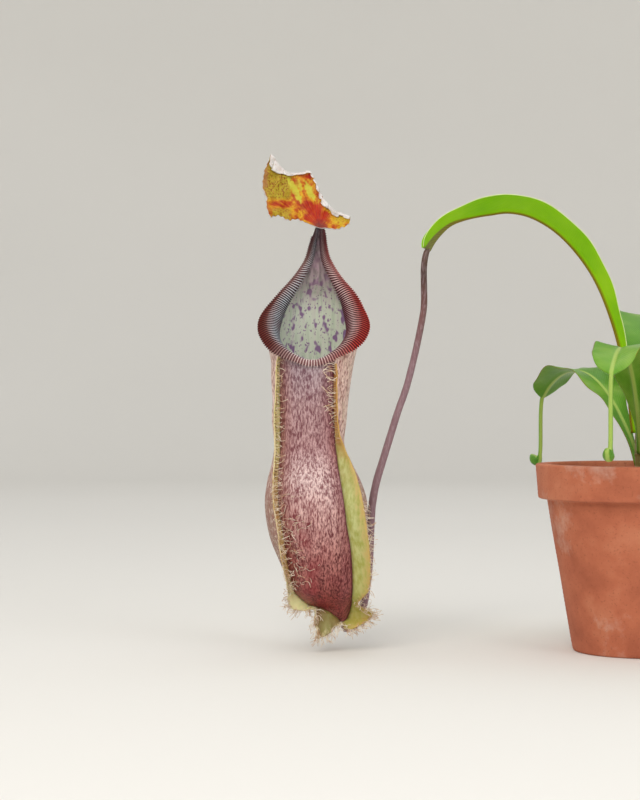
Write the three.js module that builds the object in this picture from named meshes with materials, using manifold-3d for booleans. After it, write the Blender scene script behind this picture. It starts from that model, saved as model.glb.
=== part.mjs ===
// A pitcher plant in a plain terracotta pot. The leaf on the left arches over and hangs its large,
// winged pitcher on a long tendril beside the pot. Six more leaves fan out on the other sides.
// Millimetres, +Z up, front toward -Y. The origin is the centre of the pot's underside.
import * as THREE from 'three';
import { mergeVertices } from 'three/addons/utils/BufferGeometryUtils.js';
import Module from 'manifold-3d';

const wasm = await Module();
wasm.setup();

// ---- driving dimensions ----
const GAP = 0.3; // clearance between pieces that touch

const POT_HEIGHT = 140;
const POT_BASE_RADIUS = 52;
const POT_TOP_RADIUS = 76;
const POT_BAND_RADIUS = 80;
const POT_BAND_HEIGHT = 26;
const POT_FLOOR = 8;
const POT_WALL = 6;
const DRAIN_RADIUS = 6;
const DRAIN_CIRCLE = 28;
const DRAIN_COUNT = 4;
const SOIL_EDGE_HEIGHT = 118;
const SOIL_CROWN = 3; // how far the middle of the soil stands above its edge

const STEM_RADIUS = 6;
const STEM_TOP = 184;

const PITCHER_PLACE = new THREE.Vector3(-245, 0, 4);
const PITCHER_WALL = 2;
const NECK_TOP = 314;
const PERISTOME_THICKNESS = 1.6;
const WING_THICKNESS = 1.4;
const LID_THICKNESS = 1.8;

const LEAF_THICKNESS = 2.4;
const PITCHER_SIDES = 30;
const TURNED_SIDES = 48;
const LEAF_SIDES = 8;
const TENDRIL_SIDES = 8;

// Cross-sections of the pitcher: height, centre x, half width, centre y, half depth.
const PITCHER_SECTIONS = [
  [15.5, 20.8, 3, 2.2, 3],
  [20, 17.6, 6.2, 2, 6],
  [24, 15.1, 9.9, 2, 9.4],
  [28.5, 13, 13.6, 2, 13],
  [34, 9.9, 18.6, 1, 17.8],
  [41, 8.1, 23.8, 0, 22.6],
  [49, 6.8, 27, 0, 25.7],
  [64, 3.8, 31.5, 0, 30],
  [79, 1.6, 35.8, 0, 33.8],
  [94, 0.6, 37.6, 0, 35.5],
  [109, -0.2, 37.8, 0, 35.7],
  [124, -1.7, 34.8, 0, 33],
  [136, -3.1, 30.5, 0, 29],
  [150, -5, 26.6, 0, 25.4],
  [169, -4.7, 27.9, 0, 26.6],
  [184, -3.8, 28.5, 0, 27.1],
  [199, -3.4, 30, 0, 28.5],
  [212, -2.6, 31.1, 0, 29.5],
  [225, -2.3, 33.6, 0, 30.5],
  [238, -2, 33.5, 0, 30.5],
  [250, -1.5, 31.4, 1, 29.5],
  [261, -0.5, 27.2, 3, 27],
  [271, 0.2, 21, 5, 24],
  [281, 0.6, 14, 9, 19],
  [291, 1, 7.6, 13, 12.5],
  [301, 1.5, 4.4, 14, 8.5],
  [308, 2.1, 3.5, 13, 6],
  [NECK_TOP, 2.5, 3.2, 11.5, 4.2],
];

// The slanting mouth seen from the side: height, depth. It climbs back from the front rim, and
// comes forward again up the neck.
const MOUTH_PROFILE = [
  [211, -29.35],
  [215, -26.5],
  [221, -20.5],
  [230, -11],
  [240, -1.5],
  [250, 6],
  [260, 11.5],
  [271, 16],
  [281, 18],
  [290, 18.2],
  [300, 15.5],
  [308, 11],
];

// The peristome: place along the half rim from front to neck, reach inwards, reach outwards.
const PERISTOME_REACH = [
  [0, 3.2, 2.8],
  [0.2, 4, 4.2],
  [0.35, 6.5, 7],
  [0.5, 8.6, 8.6],
  [0.65, 6.6, 4.8],
  [0.8, 4, 2.6],
  [0.9, 2.5, 2.4],
  [1, 1.4, 2.2],
];

// Wings, from the top down: root x and height, edge x and height, how far the edge stands forward.
const RIGHT_WING = [
  [15, 205, 16.5, 205, 6],
  [16.5, 188, 17, 188, 6],
  [15.5, 172, 17.5, 172, 6],
  [14, 160, 18.5, 160, 6.5],
  [14.2, 148, 21.5, 147, 7.5],
  [16, 136, 26, 134, 8],
  [19, 119, 31.5, 117, 9],
  [22.5, 98, 35, 97, 10],
  [25, 80, 37.8, 79, 11],
  [27, 62, 40.8, 60, 11],
  [28, 49, 41, 49, 10],
  [27.6, 40, 37.8, 40, 9],
  [26.6, 33, 35.5, 33, 8],
  [25.4, 28, 42.5, 27, 8],
  [23.6, 23.5, 39.5, 20, 8],
  [21.6, 19.5, 29, 13.5, 7],
  [20.4, 17.5, 22.5, 12.5, 6],
];
const LEFT_WING = [
  [-28, 205, -31, 205, 6],
  [-28, 188, -31.5, 188, 6],
  [-28, 172, -32.6, 172, 6],
  [-27.5, 155, -31.6, 155, 6],
  [-27.5, 142, -31.6, 142, 7],
  [-29, 127, -32.2, 127, 8],
  [-31, 110, -33.4, 110, 9],
  [-29.5, 96, -31.8, 96, 9],
  [-26, 75, -28.8, 75, 9],
  [-22.5, 61, -26, 61, 9],
  [-17, 50, -22.8, 50, 9],
  [-11.5, 40.5, -20.8, 40, 9],
  [-5, 33, -20.5, 29, 9],
  [-0.5, 29.5, -12, 24.5, 8],
  [2, 28, -3, 23.5, 7],
  [4.5, 26, -0.5, 14, 7],
  [7, 24, 0, 4, 7],
  [10, 21.8, 6, 4, 6],
  [13, 20, 12.5, 9.5, 5],
  [16, 18.3, 16, 14, 4],
];

// The lid seen from the front, from left to right: lower edge x and height, upper edge x and height,
// and the depths of both edges. It stands upright on the neck and hangs over on the right.
const LID_COLUMNS = [
  [-34, 322.5, -34.3, 369, 4, 16],
  [-30, 322, -30.3, 363.5, 6, 19],
  [-21.5, 319.5, -22.5, 356.5, 8, 22],
  [-12, 319, -13.5, 355.5, 10, 24],
  [-4, 316.5, -4.6, 357, 11, 24],
  [3, 314.9, 0.8, 346, 11.5, 21],
  [8.5, 314.6, 6, 335, 10, 18],
  [15, 312.5, 13, 327.5, 7, 13],
  [21, 313.8, 20.5, 323, 4, 8],
  [25.6, 317, 25.8, 321, 2, 4],
];
const LID_ROWS = 7;
const LID_LEFT_BULGE = 5; // the left side bows out this far between its corners
const LID_HOLLOW = 3; // the middle lies this far behind the straight line from edge to edge

// The large leaf's midrib from the stem to its tip.
const MAIN_LEAF_SPINE = [
  [-8.1, 0, 166],
  [-11, 0, 200],
  [-21, 0, 245],
  [-39, 0, 288],
  [-65, 0, 320],
  [-97, 0, 335],
  [-125, 0, 331],
  [-145, 0, 321],
  [-157, 0, 310],
  [-162.4, 0, 301.5],
];
// Half width of a leaf blade along its length, as a share of its widest half width.
const BLADE_WIDTH = [
  [0, 0.2],
  [0.12, 0.17],
  [0.3, 0.5],
  [0.5, 0.93],
  [0.68, 1],
  [0.86, 0.88],
  [0.95, 0.62],
  [1, 0.12],
];
const MAIN_LEAF_HALF_WIDTH = 23;
const MAIN_LEAF_ROLL = -15; // degrees, the near edge lies lower
const LEAF_FOLD = 0.18; // how steeply both halves of a blade rise from the midrib

// The tendril's centre line from the leaf tip, down behind the pitcher, to the pitcher's foot.
const TENDRIL_PATH = [
  [-162.4, 0, 300.65],
  [-164, 0, 288.5],
  [-164, 1, 272],
  [-164, 2, 258],
  [-166.5, 4, 242],
  [-169.5, 6, 227],
  [-173.2, 8, 211],
  [-177.5, 9, 195],
  [-182.8, 10, 180],
  [-188.6, 12, 161],
  [-194.4, 13, 142],
  [-199.4, 15, 125],
  [-202.4, 17, 108],
  [-203.6, 19, 90],
  [-204.5, 20, 68],
  [-206.4, 18.5, 48],
  [-209, 15.5, 33],
  [-212.5, 11.5, 22],
  [-217.5, 7.2, 16.4],
  [-223.6, 2.8, 16.1],
];
const TENDRIL_TOP_RADIUS = 2;
const TENDRIL_FOOT_RADIUS = 3;
const TENDRIL_STEPS = 38;

// The other leaves: direction round the stem in degrees, base height, reach, tip height, rise angle,
// half width, and length of the hanging tendril with its bud.
const SIDE_LEAVES = [
  ['leaf_front_left', -108, 150, 138, 205, 66, 19, 62],
  ['leaf_front', -62, 133, 165, 165, 56, 22, 70],
  ['leaf_front_right', -14, 154, 172, 232, 64, 23, 84],
  ['leaf_right', 34, 137, 178, 172, 54, 22, 66],
  ['leaf_back', 80, 158, 160, 236, 66, 21, 78],
  ['leaf_back_left', 116, 141, 140, 190, 62, 19, 58],
];
const BLADE_STEPS = 16;
const SIDE_TENDRIL_STEPS = 12;
const SIDE_TENDRIL_RADIUS = 1.6;
const BUD_RADIUS = 4;

const YOUNG_LEAF_HEIGHT = 66;
const YOUNG_LEAF_RADIUS = 4.2;

// ---- finishes ----
const finish = (color, roughness) => new THREE.MeshStandardMaterial({ color, roughness, metalness: 0 });
const leafGreen = () => finish('#76ac1a', 0.42);
const LOOKS = {
  terracotta: finish('#b5694a', 0.9),
  soil: finish('#4a3526', 0.95),
  stem: finish('#8a7a4a', 0.7),
  tendril: finish('#8a6f72', 0.55),
  pitcher: finish('#a3787a', 0.45),
  peristome: finish('#6a2a2c', 0.25),
  lid: finish('#c18a2c', 0.5),
  wing: finish('#aeb062', 0.5),
  spur: finish('#7e6269', 0.5),
};

// ---- geometry helpers ----
const vector = (x, y, z) => new THREE.Vector3(x, y, z);
const radians = THREE.MathUtils.degToRad;
const mix = THREE.MathUtils.lerp;

// Smooth value between rows [key, a, b, ...], with slopes taken from the neighbouring rows.
function between(rows, key) {
  let i = 0;
  while (i < rows.length - 2 && key > rows[i + 1][0]) i += 1;
  const from = rows[i];
  const to = rows[i + 1];
  const before = rows[Math.max(i - 1, 0)];
  const after = rows[Math.min(i + 2, rows.length - 1)];
  const span = to[0] - from[0];
  const t = THREE.MathUtils.clamp((key - from[0]) / span, 0, 1);
  const blend = (value, column) => {
    const slopeFrom = (span * (to[column] - before[column])) / (to[0] - before[0]);
    const slopeTo = (span * (after[column] - from[column])) / (after[0] - from[0]);
    const rise = to[column] - from[column];
    const curve = slopeFrom * (1 - t) * (1 - t) * t - slopeTo * (1 - t) * t * t;
    return value + rise * t * t * (3 - 2 * t) + curve;
  };
  return from.slice(1).map((value, k) => blend(value, k + 1));
}

// A closed body from its points and triangles, with its faces turned outwards.
function body(points, faces) {
  const volume = faces.reduce((sum, [a, b, c]) => {
    const normal = vector(0, 0, 0).crossVectors(points[b], points[c]);
    return sum + points[a].dot(normal);
  }, 0);
  const index = volume < 0 ? faces.map(([a, b, c]) => [a, c, b]) : faces;
  const geometry = new THREE.BufferGeometry();
  const positions = points.flatMap((point) => point.toArray());
  geometry.setAttribute('position', new THREE.Float32BufferAttribute(positions, 3));
  geometry.setIndex(index.flat());
  return geometry;
}

// A body through a row of rings with equal point counts, closed by a fan at each end.
function loft(rings) {
  const around = rings[0].length;
  const points = rings.flat();
  const faces = [];
  for (let row = 0; row < rings.length - 1; row += 1) {
    for (let i = 0; i < around; i += 1) {
      const near = row * around + i;
      const next = row * around + ((i + 1) % around);
      faces.push([near, next, next + around], [near, next + around, near + around]);
    }
  }
  for (const row of [0, rings.length - 1]) {
    const centre = vector(0, 0, 0);
    rings[row].forEach((point) => centre.addScaledVector(point, 1 / around));
    points.push(centre);
    for (let i = 0; i < around; i += 1) {
      const near = row * around + i;
      const next = row * around + ((i + 1) % around);
      faces.push(row === 0 ? [points.length - 1, next, near] : [points.length - 1, near, next]);
    }
  }
  return body(points, faces);
}

// A thin closed sheet around a grid of points, half of its thickness on each side.
function sheet(grid, thickness) {
  const rows = grid.length;
  const columns = grid[0].length;
  const clampRow = (row) => THREE.MathUtils.clamp(row, 0, rows - 1);
  const clampColumn = (column) => THREE.MathUtils.clamp(column, 0, columns - 1);
  const normalAt = (row, column) => {
    const down = grid[clampRow(row + 1)][column].clone().sub(grid[clampRow(row - 1)][column]);
    const across = grid[row][clampColumn(column + 1)].clone().sub(grid[row][clampColumn(column - 1)]);
    return down.cross(across).normalize();
  };
  const side = (sign) => grid.flatMap((line, row) => line.map((point, column) => (
    point.clone().addScaledVector(normalAt(row, column), (sign * thickness) / 2))));
  const points = [...side(1), ...side(-1)];
  const under = rows * columns;
  const faces = [];
  for (let row = 0; row < rows - 1; row += 1) {
    for (let column = 0; column < columns - 1; column += 1) {
      const a = row * columns + column;
      const b = a + 1;
      const c = a + columns;
      const d = c + 1;
      faces.push([a, c, b], [b, c, d], [a + under, b + under, c + under], [b + under, d + under, c + under]);
    }
  }
  const wall = (from, to) => faces.push([from, to, to + under], [from, to + under, from + under]);
  for (let column = 0; column < columns - 1; column += 1) {
    wall(column, column + 1);
    wall((rows - 1) * columns + column + 1, (rows - 1) * columns + column);
  }
  for (let row = 0; row < rows - 1; row += 1) {
    wall((row + 1) * columns, row * columns);
    wall(row * columns + columns - 1, (row + 1) * columns + columns - 1);
  }
  return body(points, faces);
}

// Rings round a path, each with its own half width and half thickness; fold lifts both sides.
function ribbonRings(path, sideways, halfWidth, halfThickness, sides, fold = () => 0) {
  return path.map((point, i) => {
    const share = i / (path.length - 1);
    const ahead = path[Math.min(i + 1, path.length - 1)];
    const behind = path[Math.max(i - 1, 0)];
    const along = ahead.clone().sub(behind).normalize();
    const across = sideways(share, along);
    const upward = vector(0, 0, 0).crossVectors(along, across).normalize();
    across.crossVectors(upward, along).normalize();
    return Array.from({ length: sides }, (_, k) => {
      const angle = (2 * Math.PI * k) / sides;
      const out = Math.cos(angle) * halfWidth(share);
      const lift = Math.sin(angle) * halfThickness(share) + Math.abs(out) * fold(share);
      return point.clone().addScaledVector(across, out).addScaledVector(upward, lift);
    });
  });
}

function toSolid(geometry) {
  const bare = geometry.clone();
  bare.deleteAttribute('normal');
  bare.deleteAttribute('uv');
  const merged = mergeVertices(bare, 1e-4);
  const vertProperties = new Float32Array(merged.attributes.position.array);
  const triVerts = new Uint32Array(merged.index.array);
  return new wasm.Manifold(new wasm.Mesh({ numProp: 3, vertProperties, triVerts }));
}

function toGeometry(solid) {
  const mesh = solid.getMesh();
  const geometry = new THREE.BufferGeometry();
  geometry.setAttribute('position', new THREE.Float32BufferAttribute(mesh.vertProperties, 3));
  geometry.setIndex([...mesh.triVerts]);
  return geometry;
}

function piece(name, geometry, look) {
  geometry.computeVertexNormals();
  const mesh = new THREE.Mesh(geometry, look);
  mesh.name = name;
  return mesh;
}

function turned(profile) {
  const lathe = new THREE.LatheGeometry(profile.map(([r, z]) => new THREE.Vector2(r, z)), TURNED_SIDES);
  return lathe.rotateX(Math.PI / 2);
}

// ---- pot, soil and stem ----
const potInnerRadius = (height) => {
  const slope = (POT_TOP_RADIUS - POT_BASE_RADIUS) / POT_HEIGHT;
  return POT_BASE_RADIUS - POT_WALL + slope * height;
};

function pot() {
  const bandFoot = POT_HEIGHT - POT_BAND_HEIGHT;
  const clay = toSolid(turned([
    [0, 0],
    [POT_BASE_RADIUS - 2, 0],
    [POT_BASE_RADIUS, 2],
    [potInnerRadius(bandFoot) + POT_WALL, bandFoot],
    [POT_BAND_RADIUS - 2, bandFoot],
    [POT_BAND_RADIUS, POT_HEIGHT - 2],
    [POT_BAND_RADIUS - 2, POT_HEIGHT],
    [potInnerRadius(POT_HEIGHT), POT_HEIGHT],
    [potInnerRadius(POT_FLOOR), POT_FLOOR],
    [0, POT_FLOOR],
  ]));
  let drained = clay;
  for (let i = 0; i < DRAIN_COUNT; i += 1) {
    const angle = (2 * Math.PI * (i + 0.5)) / DRAIN_COUNT;
    const drill = new THREE.CylinderGeometry(DRAIN_RADIUS, DRAIN_RADIUS, 4 * POT_FLOOR, 16);
    drill.rotateX(Math.PI / 2);
    drill.translate(DRAIN_CIRCLE * Math.cos(angle), DRAIN_CIRCLE * Math.sin(angle), 0);
    drained = drained.subtract(toSolid(drill));
  }
  return piece('pot', toGeometry(drained), LOOKS.terracotta);
}

function soil() {
  const floor = POT_FLOOR + GAP;
  return piece('soil', turned([
    [0, floor],
    [potInnerRadius(floor) - GAP, floor],
    [potInnerRadius(SOIL_EDGE_HEIGHT) - GAP, SOIL_EDGE_HEIGHT],
    [potInnerRadius(SOIL_EDGE_HEIGHT) / 2, SOIL_EDGE_HEIGHT + 0.8 * SOIL_CROWN],
    [0, SOIL_EDGE_HEIGHT + SOIL_CROWN],
  ]), LOOKS.soil);
}

function stem() {
  const foot = SOIL_EDGE_HEIGHT + SOIL_CROWN + GAP;
  const path = [foot, foot + 20, foot + 42, STEM_TOP].map((height) => vector(0, 0, height));
  const radius = (share) => mix(STEM_RADIUS, 0.8 * STEM_RADIUS, share);
  const rings = ribbonRings(path, () => vector(0, 1, 0), radius, radius, 16);
  return piece('stem', loft(rings), LOOKS.stem);
}

function youngLeaf() {
  const path = Array.from({ length: 9 }, (_, i) => {
    const share = i / 8;
    return vector(3 * share * share, -5 * share * share, STEM_TOP + GAP + share * YOUNG_LEAF_HEIGHT);
  });
  const radius = (share) => YOUNG_LEAF_RADIUS * Math.sqrt(1 - share * share) + 0.4;
  const rings = ribbonRings(path, () => vector(0, 1, 0), radius, radius, 10);
  return piece('leaf_young', loft(rings), leafGreen());
}

// ---- leaves ----
function sampleCurve(points, count) {
  const curve = new THREE.CatmullRomCurve3(points.map((point) => vector(...point)), false, 'centripetal');
  return curve.getSpacedPoints(count);
}

function mainLeaf() {
  const path = sampleCurve(MAIN_LEAF_SPINE, 2 * BLADE_STEPS);
  const roll = radians(MAIN_LEAF_ROLL);
  const sideways = (share, along) => {
    const across = vector(0, -1, 0);
    const upward = along.clone().cross(across);
    return across.multiplyScalar(Math.cos(roll)).addScaledVector(upward, Math.sin(roll));
  };
  const halfWidth = (share) => MAIN_LEAF_HALF_WIDTH * between(BLADE_WIDTH, share)[0];
  const halfThickness = (share) => mix(LEAF_THICKNESS, LEAF_THICKNESS / 1.6, share);
  const rings = ribbonRings(path, sideways, halfWidth, halfThickness, LEAF_SIDES, () => LEAF_FOLD);
  return piece('leaf_main', loft(rings), leafGreen());
}

// A blade that rises from the stem and bends over, then a thin tendril that hangs from its tip and
// turns up again at the bud.
function sideLeaf([name, turn, foot, reach, tipHeight, rise, halfWidth, hang]) {
  const outward = vector(Math.cos(radians(turn)), Math.sin(radians(turn)), 0);
  const across = vector(-outward.y, outward.x, 0);
  const place = (distance, height) => outward.clone().multiplyScalar(distance).setZ(height);
  const start = STEM_RADIUS + GAP + 1.6;
  const pull = 0.6 * reach;
  const blade = new THREE.CubicBezierCurve3(
    place(start, foot),
    place(start + pull * Math.cos(radians(rise)), foot + pull * Math.sin(radians(rise))),
    place(0.72 * reach, tipHeight + 0.28 * reach),
    place(reach, tipHeight),
  );
  const hanging = new THREE.CubicBezierCurve3(
    place(reach, tipHeight),
    place(reach + 0.12 * hang, tipHeight - 0.35 * hang),
    place(reach - 0.1 * hang, tipHeight - 1.15 * hang),
    place(reach + 0.28 * hang, tipHeight - 0.82 * hang),
  );
  const bladePoints = blade.getSpacedPoints(BLADE_STEPS);
  const path = [...bladePoints, ...hanging.getSpacedPoints(SIDE_TENDRIL_STEPS).slice(1)];
  const bladeShare = BLADE_STEPS / (path.length - 1);
  const tailShare = (share) => (share - bladeShare) / (1 - bladeShare);
  const bud = (share) => {
    const t = THREE.MathUtils.clamp((tailShare(share) - 0.72) / 0.28, 0, 1);
    return SIDE_TENDRIL_RADIUS + (BUD_RADIUS - SIDE_TENDRIL_RADIUS) * Math.sin(Math.PI * t ** 1.4);
  };
  const width = (share) => {
    const wide = share < bladeShare ? halfWidth * between(BLADE_WIDTH, share / bladeShare)[0] : 0;
    return Math.max(wide, bud(share));
  };
  const thickness = (share) => {
    const onBlade = Math.min(share / bladeShare, 1);
    return onBlade < 1 ? mix(LEAF_THICKNESS, SIDE_TENDRIL_RADIUS, onBlade) : bud(share);
  };
  const fold = (share) => (share < bladeShare ? LEAF_FOLD : 0);
  const rings = ribbonRings(path, () => across.clone(), width, thickness, LEAF_SIDES, fold);
  return piece(name, loft(rings), leafGreen());
}

function tendril() {
  const path = sampleCurve(TENDRIL_PATH, TENDRIL_STEPS);
  const radius = (share) => mix(TENDRIL_TOP_RADIUS, TENDRIL_FOOT_RADIUS, Math.min(1.4 * share, 1));
  const rings = ribbonRings(path, () => vector(0, -1, 0), radius, radius, TENDRIL_SIDES);
  return piece('tendril', loft(rings), LOOKS.tendril);
}

// ---- pitcher ----
// The whole pitcher without its mouth, or its hollow when set in by the wall.
function pitcherSolid(inset) {
  const roomy = PITCHER_SECTIONS.filter(([, , halfWidth]) => halfWidth > 1.9 * inset);
  return toSolid(loft(roomy.map(([height, centreX, halfWidth, centreY, halfDepth]) => (
    Array.from({ length: PITCHER_SIDES }, (_, i) => {
      const angle = (2 * Math.PI * i) / PITCHER_SIDES;
      const x = centreX + (halfWidth - inset) * Math.sin(angle);
      const y = centreY - (halfDepth - inset) * Math.cos(angle);
      return vector(x, y, height);
    })))));
}

// Everything in front of the slanting mouth.
function mouthCutter() {
  const far = 90;
  const [frontHeight] = MOUTH_PROFILE[0];
  const [backHeight, backDepth] = MOUTH_PROFILE[MOUTH_PROFILE.length - 1];
  const outline = new THREE.Shape();
  outline.moveTo(-far, frontHeight - 4);
  outline.lineTo(-33, frontHeight - 4);
  for (const [height, depth] of MOUTH_PROFILE) outline.lineTo(depth, height);
  outline.lineTo(backDepth - 7, backHeight + 5);
  outline.lineTo(-far, backHeight + 5);
  const block = new THREE.ExtrudeGeometry(outline, { depth: 2 * far, bevelEnabled: false });
  block.rotateY(Math.PI / 2).rotateX(Math.PI / 2);
  block.translate(-far, 0, 0);
  return toSolid(block);
}

function pitcherBody() {
  const shell = pitcherSolid(0).subtract(mouthCutter()).subtract(pitcherSolid(PITCHER_WALL));
  return piece('pitcher_body', toGeometry(shell), LOOKS.pitcher);
}

// The rim of the mouth at a share from the front (0) to the neck (1), on the side +1 or -1.
function rimPoint(share, side) {
  const lowest = MOUTH_PROFILE[0][0];
  const highest = MOUTH_PROFILE[MOUTH_PROFILE.length - 1][0];
  const height = mix(lowest, highest, share * share * (1.7 - 0.7 * share));
  const [depth] = between(MOUTH_PROFILE, height);
  const [centreX, halfWidth, centreY, halfDepth] = between(PITCHER_SECTIONS, height);
  const inward = THREE.MathUtils.clamp((depth - centreY) / halfDepth, -1, 1);
  return vector(centreX + side * halfWidth * Math.sqrt(1 - inward * inward), depth, height);
}

const mouthNormal = (height) => {
  const [before] = between(MOUTH_PROFILE, height - 2);
  const [after] = between(MOUTH_PROFILE, height + 2);
  return vector(0, -4, after - before).normalize();
};

function peristome() {
  const steps = 24;
  const rings = [];
  for (let i = -steps; i <= steps; i += 1) {
    const share = Math.abs(i) / steps;
    const side = i < 0 ? -1 : 1;
    const point = rimPoint(share, side);
    const at = (k) => rimPoint(Math.min(Math.abs(k) / steps, 1), k < 0 ? -1 : 1);
    const along = at(i + 0.5).sub(at(i - 0.5)).normalize();
    const forward = mouthNormal(point.z);
    const outward = along.clone().cross(forward).normalize();
    const [inner, outer] = between(PERISTOME_REACH, share);
    const arch = 0.22 * (inner + outer);
    const across = [-1, -0.6, 0, 0.6, 1];
    const reach = (a) => (a < 0 ? a * inner : a * outer);
    const base = GAP + 0.2;
    const place = (a, lift) => point.clone().addScaledVector(outward, reach(a)).addScaledVector(forward, lift);
    const top = across.map((a) => place(a, base + PERISTOME_THICKNESS + arch * (1 - a * a)));
    const bottom = [1, 0, -1].map((a) => place(a, base));
    rings.push([...top, ...bottom]);
  }
  return piece('peristome', loft(rings), LOOKS.peristome);
}

// A wing rooted just clear of the pitcher's front, with its free edge forward and outward.
function wing(name, rows) {
  const steps = 2 * (rows.length - 1);
  const keyed = rows.map((row, i) => [i, ...row]);
  const grid = Array.from({ length: steps + 1 }, (_, i) => {
    const [rootX, rootZ, edgeX, edgeZ, forward] = between(keyed, i / 2);
    const [centreX, halfWidth, centreY, halfDepth] = between(PITCHER_SECTIONS, rootZ);
    const sideways = THREE.MathUtils.clamp((rootX - centreX) / halfWidth, -0.985, 0.985);
    const front = Math.sqrt(1 - sideways * sideways);
    const normal = vector(sideways / halfWidth, -front / halfDepth, 0).normalize();
    const rim = vector(centreX + halfWidth * sideways, centreY - halfDepth * front, rootZ);
    const root = rim.addScaledVector(normal, GAP + WING_THICKNESS / 2);
    const edge = vector(edgeX, root.y - forward, edgeZ);
    return [root, root.clone().lerp(edge, 0.5), edge];
  });
  return piece(name, sheet(grid, WING_THICKNESS), LOOKS.wing);
}

function lid() {
  const grid = LID_COLUMNS.map(([lowX, lowZ, highX, highZ, lowY, highY], column) => (
    Array.from({ length: LID_ROWS }, (_, row) => {
      const share = row / (LID_ROWS - 1);
      const bow = 4 * share * (1 - share);
      const leftness = Math.max(0, 1 - column / 3) ** 2;
      const hollow = LID_HOLLOW * bow * ((highZ - lowZ) / 45);
      return vector(
        mix(lowX, highX, share) - LID_LEFT_BULGE * bow * leftness,
        mix(lowY, highY, share) + hollow,
        mix(lowZ, highZ, share),
      );
    })));
  return piece('lid', sheet(grid, LID_THICKNESS), LOOKS.lid);
}

function spur() {
  const path = [0, 0.35, 0.7, 1].map((t) => vector(2.2 + t, 20.9 + 6 * t, 306 + 7 * t * t));
  const radius = (share) => mix(1.3, 0.4, share);
  return piece('spur', loft(ribbonRings(path, () => vector(1, 0, 0), radius, radius, 8)), LOOKS.spur);
}

const pitcher = new THREE.Group();
pitcher.position.copy(PITCHER_PLACE);
pitcher.add(pitcherBody(), peristome(), lid(), spur());
pitcher.add(wing('wing_left', LEFT_WING), wing('wing_right', RIGHT_WING));

const group = new THREE.Group();
group.add(pot(), soil(), stem(), youngLeaf(), mainLeaf(), tendril(), pitcher);
for (const leaf of SIDE_LEAVES) group.add(sideLeaf(leaf));

export default group;
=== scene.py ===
import math
import random
from types import SimpleNamespace
import bpy
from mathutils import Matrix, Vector, noise


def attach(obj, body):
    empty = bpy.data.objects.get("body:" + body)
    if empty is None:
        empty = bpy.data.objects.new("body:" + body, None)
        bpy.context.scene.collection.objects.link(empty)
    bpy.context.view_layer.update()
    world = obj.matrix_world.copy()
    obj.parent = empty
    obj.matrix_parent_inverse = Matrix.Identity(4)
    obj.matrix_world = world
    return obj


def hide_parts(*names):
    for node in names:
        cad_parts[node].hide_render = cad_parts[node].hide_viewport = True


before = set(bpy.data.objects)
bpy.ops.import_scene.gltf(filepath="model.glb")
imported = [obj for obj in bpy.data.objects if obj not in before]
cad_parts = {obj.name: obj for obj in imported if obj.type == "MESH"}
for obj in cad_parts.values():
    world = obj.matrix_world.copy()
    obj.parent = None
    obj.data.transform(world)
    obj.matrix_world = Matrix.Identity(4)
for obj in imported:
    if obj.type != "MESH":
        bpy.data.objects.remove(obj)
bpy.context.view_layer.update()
print("frame loaded:", len(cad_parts), "nodes")

# A pitcher plant in a terracotta pot. All shapes are worked out in millimetres in the frame's axes,
# and turned to metres when a mesh is made.
metre = 0.001
up = Vector((0, 0, 1))
turn = 2 * math.pi


def linear(code):
    parts = [int(code[i:i + 2], 16) / 255 for i in (1, 3, 5)]
    return [p / 12.92 if p <= 0.04045 else ((p + 0.055) / 1.055) ** 2.4 for p in parts] + [1]


def clamp(value, low=0.0, high=1.0):
    return max(low, min(high, value))


def mix(a, b, share):
    return a + (b - a) * share


def polar(angle, radius=1, height=0):
    return Vector((math.cos(angle) * radius, math.sin(angle) * radius, height))


# Evenly spaced places from 0 to 1, and angles once round.
def shares(count):
    return [i / count for i in range(count + 1)]


def angles(count):
    return [turn * k / count for k in range(count)]


# Pattern sizes are given in millimetres; a texture's scale is how often they fit into a metre.
def perMetre(size):
    return [1000 / s for s in (size if isinstance(size, tuple) else (size, size, size))]


def smoothStep(low, high, value):
    t = clamp((value - low) / (high - low))
    return t * t * (3 - 2 * t)


# Rises from a to b and falls from c to d.
def window(a, b, c, d, value):
    return smoothStep(a, b, value) * (1 - smoothStep(c, d, value))


# Smooth value between rows [key, a, b, ...], with slopes from the neighbouring rows.
def between(rows, key):
    i = 0
    while i < len(rows) - 2 and key > rows[i + 1][0]:
        i += 1
    start, end = rows[i], rows[i + 1]
    before, after = rows[max(i - 1, 0)], rows[min(i + 2, len(rows) - 1)]
    span = end[0] - start[0]
    t = clamp((key - start[0]) / span)
    made = []
    for k in range(1, len(start)):
        slopeStart = span * (end[k] - before[k]) / (end[0] - before[0])
        slopeEnd = span * (after[k] - start[k]) / (after[0] - start[0])
        bend = slopeStart * (1 - t) * (1 - t) * t - slopeEnd * (1 - t) * t * t
        made.append(start[k] + (end[k] - start[k]) * t * t * (3 - 2 * t) + bend)
    return made


# The points of a line again, evenly spaced, with any extra values that come after x, y, z.
def evenly(points, count):
    lengths = [0]
    for a, b in zip(points, points[1:]):
        lengths.append(lengths[-1] + (Vector(b[:3]) - Vector(a[:3])).length)
    made, k = [], 0
    for i in range(count + 1):
        goal = lengths[-1] * i / count
        while k < len(points) - 2 and lengths[k + 1] < goal:
            k += 1
        t = (goal - lengths[k]) / max(lengths[k + 1] - lengths[k], 1e-9)
        made.append([mix(a, b, t) for a, b in zip(points[k], points[k + 1])])
    return made, lengths[-1]


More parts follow.
